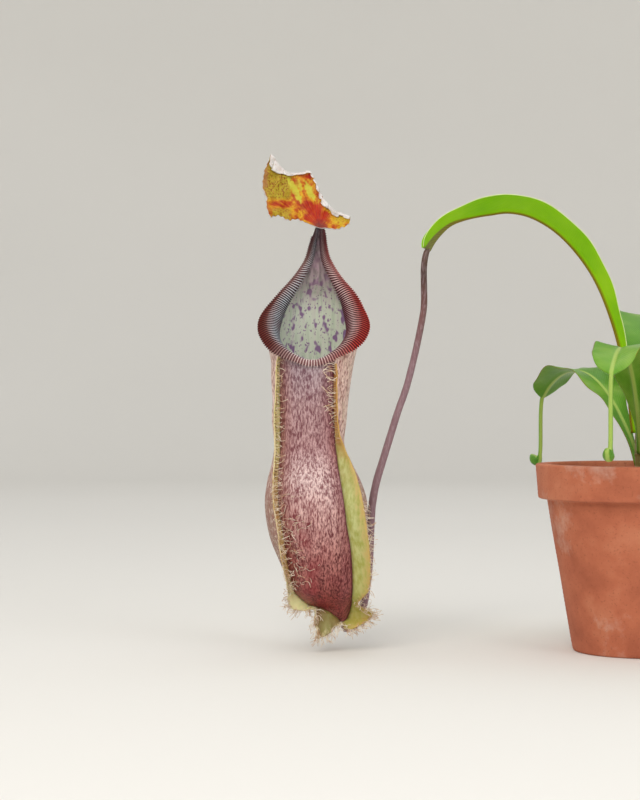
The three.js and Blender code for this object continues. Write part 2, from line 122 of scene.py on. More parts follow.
# A smooth line through points, as evenly spaced vectors.
def smoothLine(points, count):
    knots = [Vector(p) for p in points]
    knots = [2 * knots[0] - knots[1]] + knots + [2 * knots[-1] - knots[-2]]
    dense = []
    for a, b, c, d in zip(knots, knots[1:], knots[2:], knots[3:]):
        stepA, stepB, stepC = [(q - p).length ** 0.5 for p, q in ((a, b), (b, c), (c, d))]
        slopeB = ((b - a) / stepA - (c - a) / (stepA + stepB) + (c - b) / stepB) * stepB
        slopeC = ((c - b) / stepB - (d - b) / (stepB + stepC) + (d - c) / stepC) * stepB
        for t in shares(24)[:-1]:
            cubic = (2 * b - 2 * c + slopeB + slopeC) * t ** 3
            dense.append(b + slopeB * t + (3 * c - 3 * b - 2 * slopeB - slopeC) * t * t + cubic)
    dense.append(knots[-2])
    return [Vector(p) for p in evenly([tuple(p) for p in dense], count)[0]]


def bezierLine(a, b, c, d, count):
    dense = []
    for t in shares(160):
        s = 1 - t
        dense.append(tuple(a * s ** 3 + b * 3 * s * s * t + c * 3 * s * t * t + d * t ** 3))
    return [Vector(p) for p in evenly(dense, count)[0]]


def makePiece(name, points, faces, attributes=None, finishes=()):
    mesh = bpy.data.meshes.new(name)
    mesh.from_pydata([[c * metre for c in p] for p in points], [], faces)
    for label, values in (attributes or {}).items():
        isVector = not isinstance(values[0], (int, float))
        layer = mesh.attributes.new(label, "FLOAT_VECTOR" if isVector else "FLOAT", "POINT")
        flat = [c for v in values for c in v] if isVector else values
        layer.data.foreach_set("vector" if isVector else "value", flat)
    mesh.shade_smooth()
    for finish in finishes:
        mesh.materials.append(finish)
    piece = bpy.data.objects.new(name, mesh)
    bpy.context.scene.collection.objects.link(piece)
    return piece


# Faces of a grid of points that lie row by row in one list.
def gridFaces(rows, columns, start=0, wrap=False, flip=False):
    faces = []
    for r in range(rows - 1):
        for c in range(columns if wrap else columns - 1):
            a, b = start + r * columns + c, start + r * columns + (c + 1) % columns
            quad = (a, b, b + columns, a + columns)
            faces.append(quad[::-1] if flip else quad)
    return faces


# A closed body through rings with equal point counts, with a fan at each end. The fans meet in the
# hubs, or else in the middle of their ring.
def loftPiece(name, rings, attributes=None, finishes=(), hubs=None):
    around = len(rings[0])
    points = [p for ring in rings for p in ring]
    faces = gridFaces(len(rings), around, wrap=True)
    extra = {label: list(values) for label, values in (attributes or {}).items()}
    for end, row in enumerate((0, len(rings) - 1)):
        hub = len(points)
        points.append(hubs[end] if hubs else sum(rings[row], Vector()) / around)
        for values in extra.values():
            values.append(values[row * around])
        for i in range(around):
            a, b = row * around + i, row * around + (i + 1) % around
            faces.append((hub, a, b) if end else (hub, b, a))
    # the sign of the volume tells whether the faces point outwards
    volume = sum(points[f[0]].dot(points[f[i]].cross(points[f[i + 1]]))
                 for f in faces for i in range(1, len(f) - 1))
    if volume < 0:
        faces = [face[::-1] for face in faces]
    return makePiece(name, points, faces, extra, finishes)


# Turns live modifiers into a plain mesh.
def settle(piece):
    graph = bpy.context.evaluated_depsgraph_get()
    plain = bpy.data.meshes.new_from_object(
        piece.evaluated_get(graph), preserve_all_data_layers=True, depsgraph=graph)
    piece.modifiers.clear()
    old, piece.data = piece.data, plain
    plain.name = piece.name
    bpy.data.meshes.remove(old)
    return piece


def thicken(piece, thickness, backFinish=0):
    modifier = piece.modifiers.new("thickness", "SOLIDIFY")
    modifier.thickness = thickness * metre
    modifier.offset = 0
    modifier.material_offset = modifier.material_offset_rim = backFinish
    return settle(piece)


def place(piece, slot, *nodes):
    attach(piece, "root")
    if nodes:
        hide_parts(*nodes)
    return piece


# Sets or links a node's inputs, given by name or in the order of its sockets that are in use. A
# node given as a value stands for its first output.
def feed(tree, node, values):
    sockets = [s for s in node.inputs if s.enabled]
    if isinstance(values, dict):
        sockets = [next(s for s in sockets if s.name == key) for key in values]
        values = values.values()
    for socket, value in zip(sockets, values):
        if isinstance(value, bpy.types.Node):
            value = next(s for s in value.outputs if s.enabled)
        if isinstance(value, bpy.types.NodeSocket):
            tree.links.new(value, socket)
        else:
            isColour = isinstance(value, str) and value.startswith("#")
            socket.default_value = linear(value) if isColour else value


# Adds one node with its settings, and feeds its inputs. Kinds without a prefix are shader nodes.
def add(tree, kind, *values, stops=(), **settings):
    made = tree.nodes.new(kind if "Node" in kind else "ShaderNode" + kind)
    if kind == "Mix":
        settings["data_type"] = "RGBA"
    for key, value in settings.items():
        setattr(made, key, value)
    feed(tree, made, values[0] if values and isinstance(values[0], dict) else values)
    if stops:
        marks = made.color_ramp.elements
        marks[0].position, marks[1].position = stops[0][0], stops[-1][0]
        for stop, _ in stops[1:-1]:
            marks.new(stop)
        for mark, (_, value) in zip(sorted(marks, key=lambda m: m.position), stops):
            mark.color = linear(value) if isinstance(value, str) else (value, value, value, 1)
    return made


# Starts a finish with its shader's settings. It gives back what colours may follow: x and height in
# metres, mesh attributes, and patterns, each given by its size in mm, detail and roughness.
def newFinish(name, settings, attributes=(), **patterns):
    finish = bpy.data.materials.new(name)
    finish.use_nodes = True
    tree = finish.node_tree
    tree.nodes.clear()
    add(tree, "OutputMaterial", add(tree, "BsdfPrincipled", settings))
    where = add(tree, "TexCoord").outputs["Object"]
    x, _, height = add(tree, "SeparateXYZ", where).outputs
    given = {"x": x, "height": height}
    for label in attributes:
        given[label] = add(tree, "Attribute", attribute_name=label).outputs["Fac"]
    for label, (size, detail, roughness) in patterns.items():
        scaled = add(tree, "Mapping", {"Vector": where, "Scale": perMetre(size)})
        given[label] = add(tree, "TexNoise", scaled, 1, detail, roughness)
    return finish, tree, SimpleNamespace(**given)


# Lays coats over a colour. A coat is its own colour and the masks that its share is multiplied
# from, each as what it follows, from, to, share at from, share at to.
def coated(tree, colour, *coats):
    for over, *masks in coats:
        shares = [add(tree, "MapRange", *m) if isinstance(m, tuple) else m for m in masks]
        share = shares[0]
        for other in shares[1:]:
            share = add(tree, "Math", share, other, operation="MULTIPLY")
        colour = add(tree, "Mix", share, colour, over)
    return colour


# Links a finish's colour and its bump, which is given in metres, with any other inputs.
def closeFinish(finish, colour, height=None, strength=0, depth=0.0004, **others):
    tree = finish.node_tree
    inputs = {"Base Color": colour, **others}
    if height:
        inputs["Normal"] = add(tree, "Bump", {"Height": height, "Strength": strength,
                                              "Distance": depth})
    feed(tree, tree.nodes["Principled BSDF"], inputs)
    return finish


# A finish whose colour and bump follow one pattern.
def plainFinish(name, settings, pattern, stops, strength=0, depth=0.0004):
    finish, tree, at = newFinish(name, {"IOR": 1.5, **settings}, grain=pattern)
    colour = add(tree, "ValToRGB", at.grain, stops=stops)
    return closeFinish(finish, colour, at.grain if strength else None, strength, depth)


def newTree(name, inputs):
    tree = bpy.data.node_groups.new(name, "GeometryNodeTree")
    tree.interface.new_socket("Geometry", in_out="OUTPUT", socket_type="NodeSocketGeometry")
    for label, kind in {"Geometry": "Geometry", **inputs, "Finish": "Material"}.items():
        tree.interface.new_socket(label, in_out="INPUT", socket_type="NodeSocket" + kind)
    return tree, add(tree, "NodeGroupInput").outputs


def closeTree(tree, given, shape):
    real = add(tree, "GeometryNodeRealizeInstances", shape)
    done = add(tree, "GeometryNodeSetMaterial", {"Geometry": real, "Material": given["Finish"]})
    add(tree, "NodeGroupOutput", done)
    return tree


# Runs a tree on a piece with its named inputs, and keeps the result as a plain mesh.
def runTree(piece, tree, values):
    modifier = piece.modifiers.new(tree.name, "NODES")
    modifier.node_group = tree
    for item in tree.interface.items_tree:
        if item.in_out == "INPUT" and item.name in values:
            modifier[item.identifier] = values[item.name]
    return settle(piece)


studio = {
    "cameraPlace": (-0.242, -1.5, 0.18775),
    "lens": 90,
    "worldColour": "#f1f2f4",
    "worldStrength": 0.3,
    # name, place, aim, size in metres, power, colour
    "lights": [
        ["keyLight", (-0.83, -1.95, 1.7), (-0.2, 0, 0.2), 1.35, 28, "#fffaf3"],
        ["fillLight", (1.5, -1.85, 0.95), (-0.15, 0, 0.18), 1.4, 12.3, "#f4f7ff"],
        ["topLight", (0, 0.1, 3.4), (0, 0.1, 0), 6, 98, "#ffffff"],
    ],
    "floorColours": [(0.3, "#e6e4df"), (0.7, "#e9e7e2")],
    "floorPattern": 170,
    "middleRadius": 1500,
    "floorRadius": 3200,
    "sweepRadius": 1200,
    "wallTop": 3600,
    "sides": 96,
}
scene = bpy.context.scene
scene.view_settings.view_transform = "Standard"
cameraData = bpy.data.cameras.new("camera")
cameraData.lens = studio["lens"]
cameraData.sensor_width = 36
camera = bpy.data.objects.new("camera", cameraData)
camera.location = studio["cameraPlace"]
camera.rotation_euler = (math.radians(90), 0, 0)
scene.collection.objects.link(camera)
scene.camera = camera

for name, spot, aim, size, power, colour in studio["lights"]:
    lightData = bpy.data.lights.new(name, "AREA")
    lightData.shape = "RECTANGLE"
    lightData.size = lightData.size_y = size
    lightData.energy = power
    lightData.color = linear(colour)[:3]
    light = bpy.data.objects.new(name, lightData)
    light.location = spot
    light.rotation_euler = (Vector(aim) - Vector(spot)).to_track_quat("-Z", "Y").to_euler()
    light.visible_camera = False
    scene.collection.objects.link(light)
scene.world = bpy.data.worlds.new("studioWorld")
scene.world.use_nodes = True
feed(scene.world.node_tree, scene.world.node_tree.nodes["Background"],
     {"Color": studio["worldColour"], "Strength": studio["worldStrength"]})

# Painted board, matt and almost even, so it gives the eye nothing but a pale ground.
boardFinish, boardTree, _ = newFinish("paintedBoard",
                                      {"Roughness": 0.9, "Specular IOR Level": 0.05})
boardGrain = add(boardTree, "TexNoise", {"Scale": 1000 / studio["floorPattern"], "Detail": 2})
closeFinish(boardFinish, add(boardTree, "ValToRGB", boardGrain, stops=studio["floorColours"]))
# A wide round floor whose rim sweeps up on all sides, so that every view has the same pale ground.
sweep, sides = studio["sweepRadius"], studio["sides"]
boardLine = [(studio["middleRadius"], 0), (studio["floorRadius"], 0)]
for angle in [math.radians(d) for d in range(6, 91, 6)]:
    arc = polar(angle, sweep)
    boardLine.append((studio["floorRadius"] + arc.y, sweep - arc.x))
boardLine.append((studio["floorRadius"] + sweep, studio["wallTop"]))
board = makePiece("studioBoard", [polar(angle, *p) for p in boardLine for angle in angles(sides)],
                  gridFaces(len(boardLine), sides, wrap=True, flip=True) + [tuple(range(sides))],
                  finishes=[boardFinish])
print("camera, lights and stage ready")

# Cross-sections: height, centre x, half width, centre y, half depth, from the pitcher's own origin.
pitcher = {
    "place": (-245, 0, 4),
    "wall": 1.8,
    # the hollow starts at this height, and above the second its back wall is drawn in to "inside"
    "hollowFoot": 30,
    "closingFrom": 255,
    "softness": 0.7,
    "columns": 144,
    "rowStep": 1.5,
    "sections": [
        [12.6, 21.6, 2.6, 2.6, 2.6], [15.5, 20.8, 3.1, 2.2, 3.1], [20, 17.6, 6.2, 2, 6],
        [24, 14.6, 10.6, 2, 9.8], [28.5, 12.2, 14.8, 2, 13.6], [34, 9.2, 19.9, 1, 18.6],
        [41, 7.4, 24.8, 0, 23.2], [49, 6.3, 27.8, 0, 26.2], [64, 3.6, 31.9, 0, 30.2],
        [79, 1.6, 35.8, 0, 33.8], [94, 0.6, 37.6, 0, 35.5], [109, -0.2, 37.8, 0, 35.7],
        [124, -1.7, 34.8, 0, 33], [136, -3.1, 30.5, 0, 29], [150, -5, 26.6, 0, 25.4],
        [169, -4.7, 27.9, 0, 26.6], [184, -3.8, 28.5, 0, 27.1], [199, -3.4, 30, 0, 28.5],
        [212, -2.6, 31.1, 0, 29.5], [225, -2.3, 33.6, 0, 30.5], [238, -2, 33.5, 0, 30.5],
        [250, -1.5, 31.4, 1, 29.5], [261, -0.5, 27.2, 3, 27], [271, 0.2, 21, 5, 24],
        [281, 0.6, 14, 9, 19], [291, 1, 7.6, 13, 12.5], [301, 1.5, 4.4, 14, 8.5],
        [308, 2.1, 3.2, 13, 6], [314, 2.4, 2.8, 11.7, 4.2], [317.5, 2.2, 3.0, 12.2, 3.2],
        [321, 1.6, 3.2, 13.6, 2.6], [326, 0.6, 2.0, 15.8, 1.6],
    ],
    # the slanting mouth from the side: height, depth
    "mouth": [
        [211, -29.35], [215, -26.5], [221, -20.5], [230, -11], [240, -1.5], [250, 6],
        [260, 11.5], [271, 16], [281, 18], [290, 18.2], [300, 15.5], [308, 11], [313.4, 8.8],
    ],
    # how deep the inside reaches behind the mouth as the neck closes: height, depth
    "inside": [
        [250, 60], [262, 31], [271, 24.6], [281, 21.2], [290, 19.8], [300, 16.9], [308, 12.4],
        [313.4, 10], [326, 30],
    ],
    # extra rows where the shape turns fast: at the foot, above the mouth's foot, in the neck
    "footRows": [12.6, 13.6, 14.6, 15.5, 16.5, 17.6],
    "mouthRows": [-1, 0, 0.08, 0.25, 0.5, 0.9, 1.4, 2, 2.8, 3.8, 5],
    "neckRows": [314, 314.6, 315.4, 316.4, 317.6, 319, 320.6, 322.4, 324.2, 326],
    # colours up the front panel, of its dark ground and its pale flecks, and up the sides
    # the palest stops, over the bulge at 0.45 to 0.57, and the grey-blue top stops are partly the
    # panel's own colour and partly painted highlight and sheen
    "panelDark": [
        (0.06, "#360d0d"), (0.17, "#461211"), (0.3, "#581d20"), (0.45, "#6e3036"),
        (0.57, "#825054"), (0.68, "#744046"), (0.82, "#71424a"), (0.97, "#70505c")],
    "panelBright": [
        (0.06, "#84352e"), (0.17, "#9c4740"), (0.3, "#c2827c"), (0.45, "#dcb3ad"),
        (0.57, "#e8cdc9"), (0.68, "#c39c9c"), (0.82, "#bf9f9f"), (0.97, "#baa9af")],
    "sides": [
        (0.05, "#7f5842"), (0.3, "#8a6956"), (0.5, "#a07e71"), (0.75, "#f2d4ca"),
        (0.97, "#f6d8ce")],
}
pitcherPlace = Vector(pitcher["place"])
offPanel = -20.0
mouthFoot, mouthTop = pitcher["mouth"][0][0], pitcher["mouth"][-1][0]

# Wings from the top down: root x and height, edge x and height, how far the edge stands forward.
rightWing = [
    [13.5, 210.5, 15, 210.5, 4], [13.5, 204.5, 15.5, 204.5, 5], [13, 190, 15.5, 190, 5],
    [13.5, 172, 16, 172, 5.5], [14, 160.5, 17, 160.5, 6], [14.5, 152.5, 19.5, 152.5, 7],
    [15.5, 142.5, 23.5, 143, 8], [17.5, 128.5, 29, 130, 9], [20.5, 110.5, 34, 111, 10],
    [23, 92, 37, 92.5, 11], [25.5, 77, 39, 77.5, 11], [27, 59.5, 40, 60.5, 11],
    [27.5, 44.5, 39.5, 45.5, 10], [27, 37, 36, 38.5, 9], [27, 32, 31, 33, 8],
    [26, 27.5, 36, 28, 8], [25, 23.5, 43, 25, 8], [23.5, 20, 38.5, 19, 8],
    [22, 18.5, 32.5, 15.5, 7], [20.5, 17.5, 26.5, 13, 7], [19.5, 17, 21.5, 13, 6],
]
leftWing = [
    [-26, 216.5, -27.5, 216.5, 3], [-27, 210.5, -29, 210.5, 4], [-26.5, 199, -29.5, 199, 5],
    [-27, 185, -30, 185, 5.5], [-27, 171, -31, 171, 6], [-27, 156.5, -30.5, 156.5, 6],
    [-27, 142.5, -30.5, 142.5, 6], [-28, 125, -31.5, 125, 8], [-27.5, 106.5, -31, 107, 9],
    [-24.5, 87.5, -28, 88, 9], [-22, 69, -26, 70, 9], [-18.5, 50, -22, 51, 9],
    [-16.5, 40.5, -21, 41, 5], [-13.5, 35, -20.5, 32.5, 5], [-9.5, 31.5, -17.5, 27.5, 5],
    [-5, 30, -8.5, 26.5, 5], [-1, 29.5, -1, 28, 6], [1.5, 29, -1, 22, 6],
    [4, 28.5, 0, 14.5, 6], [7, 27, 1, 7, 6], [10, 25.5, 4.5, 7.5, 6],
    [12.5, 23.5, 10.5, 11, 5], [15.5, 21, 15.5, 15, 5], [18, 18, 18, 17.5, 4],
]


def pitcherPoint(angle, height, inset=0):
    centreX, halfWidth, centreY, halfDepth = between(pitcher["sections"], height)
    inset = min(inset, 0.55 * halfWidth)
    return Vector((centreX + (halfWidth - inset) * math.sin(angle),
                   centreY - (halfDepth - inset) * math.cos(angle), height))


# How far round from the front the mouth is open at a height.
def mouthAngle(height):
    if height <= mouthFoot:
        return 0
    known = min(height, mouthTop)
    depth = between(pitcher["mouth"], known)[0]
    _, _, centreY, halfDepth = between(pitcher["sections"], known)
    angle = math.acos(clamp((centreY - depth) / halfDepth, -1, 1))
    return angle * (1 - smoothStep(mouthTop, mouthTop + 2.4, height))


def rootX(rows, height):
    for a, b in zip(rows, rows[1:]):
        if b[1] <= height <= a[1]:
            return mix(b[0], a[0], (height - b[1]) / (a[1] - b[1]))
    return rows[0][0] if height > rows[0][1] else rows[-1][0]


# Raised veins and soft dents that keep the wall from looking turned on a lathe.
def wallRelief(angle, height):
    soft = noise.noise(Vector((math.sin(angle), -math.cos(angle), height / 90)) * 2.2) * 1.1
    wave = noise.noise(Vector((height / 40, 3.1, math.cos(angle))))
    veins = math.sin(angle * 34 + 2 * wave) * 0.16
    return (soft + veins) * smoothStep(20, 60, height) * (1 - 0.9 * smoothStep(196, 212, height))


# The hollow wall, open at the mouth. Rows of points go round it from one lip to the other.
def pitcherBody(finish):
    heights = list(pitcher["footRows"])
    for top, rows in ((mouthFoot - 2.2, [mouthFoot + rise for rise in pitcher["mouthRows"]]),
                      (mouthTop - 2, [mouthTop] + pitcher["neckRows"])):
        while heights[-1] < top:
            heights.append(heights[-1] + pitcher["rowStep"])
        heights += rows
    columns = pitcher["columns"]
    points, panel, inner, rightness = [], [], [], []

    # across: 0 at the left wing and 1 at the right; onPanel: mm from the nearer wing
    def addPoint(spot, isInner, across=0.5, onPanel=offPanel):
        points.append(spot)
        rightness.append(across)
        panel.append(onPanel)
        inner.append(1.0 if isInner else 0.0)

    def addRow(height, inset, isInner):
        lip = mouthAngle(height)
        left, right = rootX(leftWing, height), rootX(rightWing, height)
        for j in range(columns + 1):
            angle = lip + (turn - 2 * lip) * j / columns
            spot = pitcherPoint(angle, height, inset)
            spot += Vector((math.sin(angle), -math.cos(angle), 0)) * wallRelief(angle, height)
            if isInner and height > pitcher["closingFrom"]:
                limit, soft = between(pitcher["inside"], height)[0], pitcher["softness"]
                spot.y = -soft * math.log(math.exp(-spot.y / soft) + math.exp(-limit / soft))
            onPanel = min(spot.x - left, right - spot.x)
            addPoint(spot + pitcherPlace, isInner, (spot.x - left) / (right - left),
                     onPanel if math.cos(angle) > 0 and not isInner else offPanel)

    innerFrom = next(i for i, h in enumerate(heights) if h > pitcher["hollowFoot"])
    for height in heights:
        addRow(height, 0, False)
    for height in heights[innerFrom:]:
        addRow(height, pitcher["wall"], True)
    innerStart = len(heights) * (columns + 1)
    faces = gridFaces(len(heights), columns + 1)
    faces += gridFaces(len(heights) - innerFrom, columns + 1, innerStart, flip=True)

    def index(row, column, isInner):
        first = innerStart - innerFrom * (columns + 1) if isInner else 0
        return first + (columns + 1) * row + column

    last = len(heights) - 1
    for row in range(heights.index(mouthFoot), last):
        for j, way in ((0, -1), (columns, 1)):
            strip = [index(row, j, False), index(row + 1, j, False), index(row + 1, j, True),
                     index(row, j, True)]
            faces.append(strip[::way])
    for j in range(columns):
        faces.append([index(last, j, False), index(last, j + 1, False), index(last, j + 1, True),
                      index(last, j, True)])
    for row, isInner in ((0, False), (innerFrom, True)):
        hub = len(points)
        ring = [points[index(row, j, isInner)] for j in range(columns)]
        addPoint(sum(ring, Vector()) / columns, isInner)
        for j in range(columns):
            a, b = index(row, j, isInner), index(row, j + 1, isInner)
            faces.append([hub, a, b] if isInner else [hub, b, a])
    values = {"panel": panel, "inner": inner, "rightness": rightness}
    piece = makePiece("pitcher_wall", points, faces, values, [finish])
    weld = piece.modifiers.new("weld", "WELD")
    weld.merge_threshold = 0.00001
    return settle(piece)


# Living pitcher wall: waxy skin over green tissue flushed dark red. The front panel between the
# wings carries upright pale flecks, the sides are tan, and the inside is pale green with purple
# blotches.
def pitcherFinish():
    finish, tree, at = newFinish(
        "speckledPitcherSkin", {"IOR": 1.42, "Specular IOR Level": 0.4},
        ("panel", "inner", "rightness"), fleck=((1.1, 1.1, 3.7), 4, 0.64),
        patch=((6.5, 6.5, 22), 3, 0.6), flush=((9, 9, 17), 2, 0.5), streak=((2.4, 2.4, 30), 2, 0.5),
        blotch=((4.2, 4.2, 6.6), 1, 0.5), dot=((1.6, 1.6, 2.4), 1, 0.5))
    share = add(tree, "MapRange", at.height, 0.004, 0.224)
    tone = add(tree, "Math", add(tree, "MapRange", at.fleck, 0.4, 0.61),
               add(tree, "MapRange", at.patch, 0.35, 0.65, -0.22, 0.22), use_clamp=True)
    # the panel ramps carry partly painted highlight over the bulge and painted sheen at the top
    dark, bright, side = [add(tree, "ValToRGB", share, stops=pitcher[part])
                          for part in ("panelDark", "panelBright", "sides")]
    nearWing = add(tree, "MapRange", at.panel, 0, 13, 0.62, 0, interpolation_type="SMOOTHSTEP")
    wingSide = add(tree, "Mix", tone, add(tree, "Mix", at.rightness, "#6b302a", "#672a33"),
                   add(tree, "Mix", at.rightness, "#a5675c", "#a4626a"))
    # a crimson flush low on the left, in patches, and darker and redder toward both wings, partly the
    # wall's own colour and partly painted shade where it turns away
    panel = coated(
        tree, add(tree, "Mix", tone, dark, bright),
        ("#84222c", (at.height, 0.07, 0.14, 1, 0), (at.rightness, 0.25, 0.75, 1, 0.2),
         (at.flush, 0.42, 0.62, 0, 0.62)),
        (wingSide, nearWing))
    # the wall turns into the lid's red keel above the joint
    keel = ("#8e1f16", (at.height, 0.3175, 0.3225))
    # sides and back: tan, with a green cast in places and fine red flecks; then the panel, and a
    # dark seam 1.5 mm wide where the right wing grows out, faint on the left
    outside = coated(
        tree, side,
        ("#a39a6c", (at.patch, 0.45, 0.7, 0, 0.45)), ("#f3e0d4", (at.fleck, 0.34, 0.46, 0.75, 0)),
        ("#a0685c", (at.streak, 0.46, 0.6, 0, 0.42)), ("#8e5650", (at.fleck, 0.48, 0.6, 0, 0.9)),
        (panel, (at.panel, -0.7, 0.5)),
        ("#5a2133", (at.panel, -0.6, 0.5), (at.panel, 0.4, 1.6, 1, 0),
         (at.rightness, 0.3, 0.7, 0.1, 0.8)), keel)
    # the inside: blotches 2 to 5 mm across, a little taller than wide, purple again up the neck
    blotch = add(tree, "Math", at.blotch, add(tree, "MapRange", at.x, -0.27, -0.222, -0.012, 0.03))
    spots = add(tree, "Math", add(tree, "MapRange", blotch, 0.585, 0.665, 0, 0.85),
                add(tree, "MapRange", at.dot, 0.63, 0.67, 0, 0.8), operation="MAXIMUM")
    neck = coated(tree, "#5f4350", ("#a1868f", (at.streak, 0.35, 0.65)))
    inNeck = add(tree, "MapRange", at.height, 0.25, 0.292, 0, 0.92, interpolation_type="SMOOTHSTEP")
    inside = coated(
        tree, "#bcc8b2", ("#dfe3d3", (at.streak, 0.3, 0.7)),
        ("#8f7484", (at.streak, 0.5, 0.72, 0, 0.6), (at.height, 0.215, 0.275)),
        ("#a08aa2", (blotch, 0.545, 0.62, 0, 0.4)), ("#7c4e88", spots), (neck, inNeck), keel)
    return closeFinish(finish, add(tree, "Mix", at.inner, outside, inside), at.fleck, 0.4,
                       Roughness=add(tree, "MapRange", at.fleck, 0.3, 0.7, 0.34, 0.5))


pitcherSkin = pitcherFinish()
place(pitcherBody(pitcherSkin), "pitcher_wall", "pitcher_body")
print("pitcher wall ready")

collar = {
    "ribSpacing": 1.92,
    "samplesPerRib": 6,
    "topSteps": 26,
    "underSteps": 14,
    "ribHeight": 0.0006,
    "toothLength": 0.0011,
    "skin": 1.0,
    "lift": 0.5,
    "crown": 1.6,
    # the collar cut across: place from inner to outer edge, share of the reach, share of the lift
    "section": [
        [-1, -0.86, -0.42], [-0.93, -0.97, -0.12], [-0.82, -1.0, 0.24], [-0.62, -0.84, 0.62],
        [-0.35, -0.5, 0.9], [0, 0, 1.0], [0.3, 0.36, 0.9], [0.6, 0.7, 0.62], [0.86, 0.95, 0.34],
        [0.95, 1.0, 0.2], [1, 0.98, 0.04],
    ],
    # place along half of the rim from front to neck, reach inwards right, inwards left, outwards
    # right, outwards left
    "reach": [
        [0, 1.8, 1.8, 2.3, 2.3], [0.12, 2.4, 1.7, 2.4, 3], [0.21, 3.8, 2.3, 2.9, 4.8],
        [0.3, 5.6, 4.2, 5.3, 6.8], [0.38, 7, 6.4, 7, 6.8], [0.5, 8.4, 8.4, 7.1, 6.2],
        [0.65, 6.8, 6.8, 4.4, 3.2], [0.8, 4.2, 4.2, 2.4, 1.4], [0.9, 2.8, 2.8, 2, 1.8],
        [1, 1.5, 1.5, 1.6, 1.6], [1.045, 0.9, 0.9, 0.9, 0.9],
    ],
    "rimEnd": 1.045,
    "rimRise": 97,
    # colours across the collar, of the left and the right half
    # the grooves are near black: their own dark colour, deepened with painted shade
    "groovesAndShade": [
        [(0.0, "#16141b"), (0.35, "#1c1b22"), (0.55, "#241013"), (0.72, "#2c0b08"), (1.0, "#340a06")],
        [(0.0, "#1e0c13"), (0.35, "#2b0b13"), (0.6, "#360508"), (0.75, "#4c0302"), (1.0, "#560202")],
    ],
    # the pale crests of the inner half are painted highlights, and the dark purple at the right
    # half's inner edge is painted shade
    "crestsAndHighlights": [
        [(0.0, "#6a6a72"), (0.3, "#c3cad2"), (0.46, "#c6b6b8"), (0.6, "#8a5249"), (0.76, "#6e281b"),
         (1.0, "#6c2216")],
        [(0.0, "#5c3444"), (0.17, "#93606a"), (0.36, "#e0bab6"), (0.5, "#d8928c"), (0.66, "#bc443c"),
         (1.0, "#c4261a")],
    ],
    # how pale it is along half of the rim, from front to neck
    "pale": [(0.0, 0.9), (0.14, 0.5), (0.3, 0.0), (0.62, 0.0), (0.8, 0.3), (0.92, 0.1), (1.0, 0.0)],
}


def rimPoint(share, side):
    height = min(mouthFoot + collar["rimRise"] * share * share * (1.7 - 0.7 * share), mouthTop)
    depth = between(pitcher["mouth"], height)[0]
    centreX, halfWidth, centreY, halfDepth = between(pitcher["sections"], height)
    inward = clamp((depth - centreY) / halfDepth, -1, 1)
    across = side * halfWidth * math.sqrt(1 - inward * inward)
    return (centreX + across, depth, height, side * share)


def peristomeBase():
    raw = [rimPoint(collar["rimEnd"] * share, side)
           for side in (-1, 1) for share in shares(240)[::side]]
    _, rimLength = evenly(raw, 10)
    count = int(rimLength / collar["ribSpacing"] * collar["samplesPerRib"])
    rim, _ = evenly(raw, count)

    # a place on the cut-across, in mm out and up, set in by the skin for the underside
    def cut(spotPlace, inner, outer, crown, skin):
        def spotAt(a):
            reach, rise = between(collar["section"], clamp(a, -1, 1))
            return Vector(((inner if reach < 0 else outer) * reach, crown * rise))
        slope = spotAt(spotPlace + 0.02) - spotAt(spotPlace - 0.02)
        inwards = Vector((slope.y, -slope.x)).normalized()
        return spotAt(spotPlace) + inwards * skin * (1.05 - spotPlace ** 6)

    places = [(mix(-1, 1, t), 0) for t in shares(collar["topSteps"])]
    places += [(mix(1, -1, t), collar["skin"]) for t in shares(collar["underSteps"])]
    rings, ribs, across, along, outwards = [], [], [], [], []
    for i, (x, y, z, share) in enumerate(rim):
        behind, ahead = rim[max(i - 4, 0)], rim[min(i + 4, count)]
        direction = (Vector(ahead[:3]) - Vector(behind[:3])).normalized()
        before, after = [between(pitcher["mouth"], z + step)[0] for step in (-2, 2)]
        forward = Vector((0, -4, after - before)).normalized()
        outward = direction.cross(forward).normalized()
        innerRight, innerLeft, outerRight, outerLeft = between(collar["reach"], abs(share))
        inner, outer = (innerRight, outerRight) if share > 0 else (innerLeft, outerLeft)
        outer += 0.2 * outer * noise.noise(Vector((share * 7.2, 2.7, 0)))
        ends = smoothStep(0.93, collar["rimEnd"], abs(share))
        crown = (collar["crown"] + 0.22 * (inner + outer)) * (1 - 0.5 * ends)
        slanting = 5 * smoothStep(0.62, 1, abs(share)) * (1 if share > 0 else -1)
        ring = []
        for spotPlace, skin in places:
            out, rise = cut(spotPlace, inner, outer, crown, skin * (1 - 0.5 * ends))
            spot = Vector((x, y, z)) + outward * out + forward * (collar["lift"] + rise)
            ring.append(spot + pitcherPlace)
            ribs.append(-1.0 if skin else i / collar["samplesPerRib"] + slanting * spotPlace)
            across.append(spotPlace)
            along.append(share)
            outwards.append(tuple(outward))
        rings.append(ring)
    values = {"rib": ribs, "across": across, "along": along, "outward": outwards}
    return loftPiece("peristome_ribbed", rings, values)


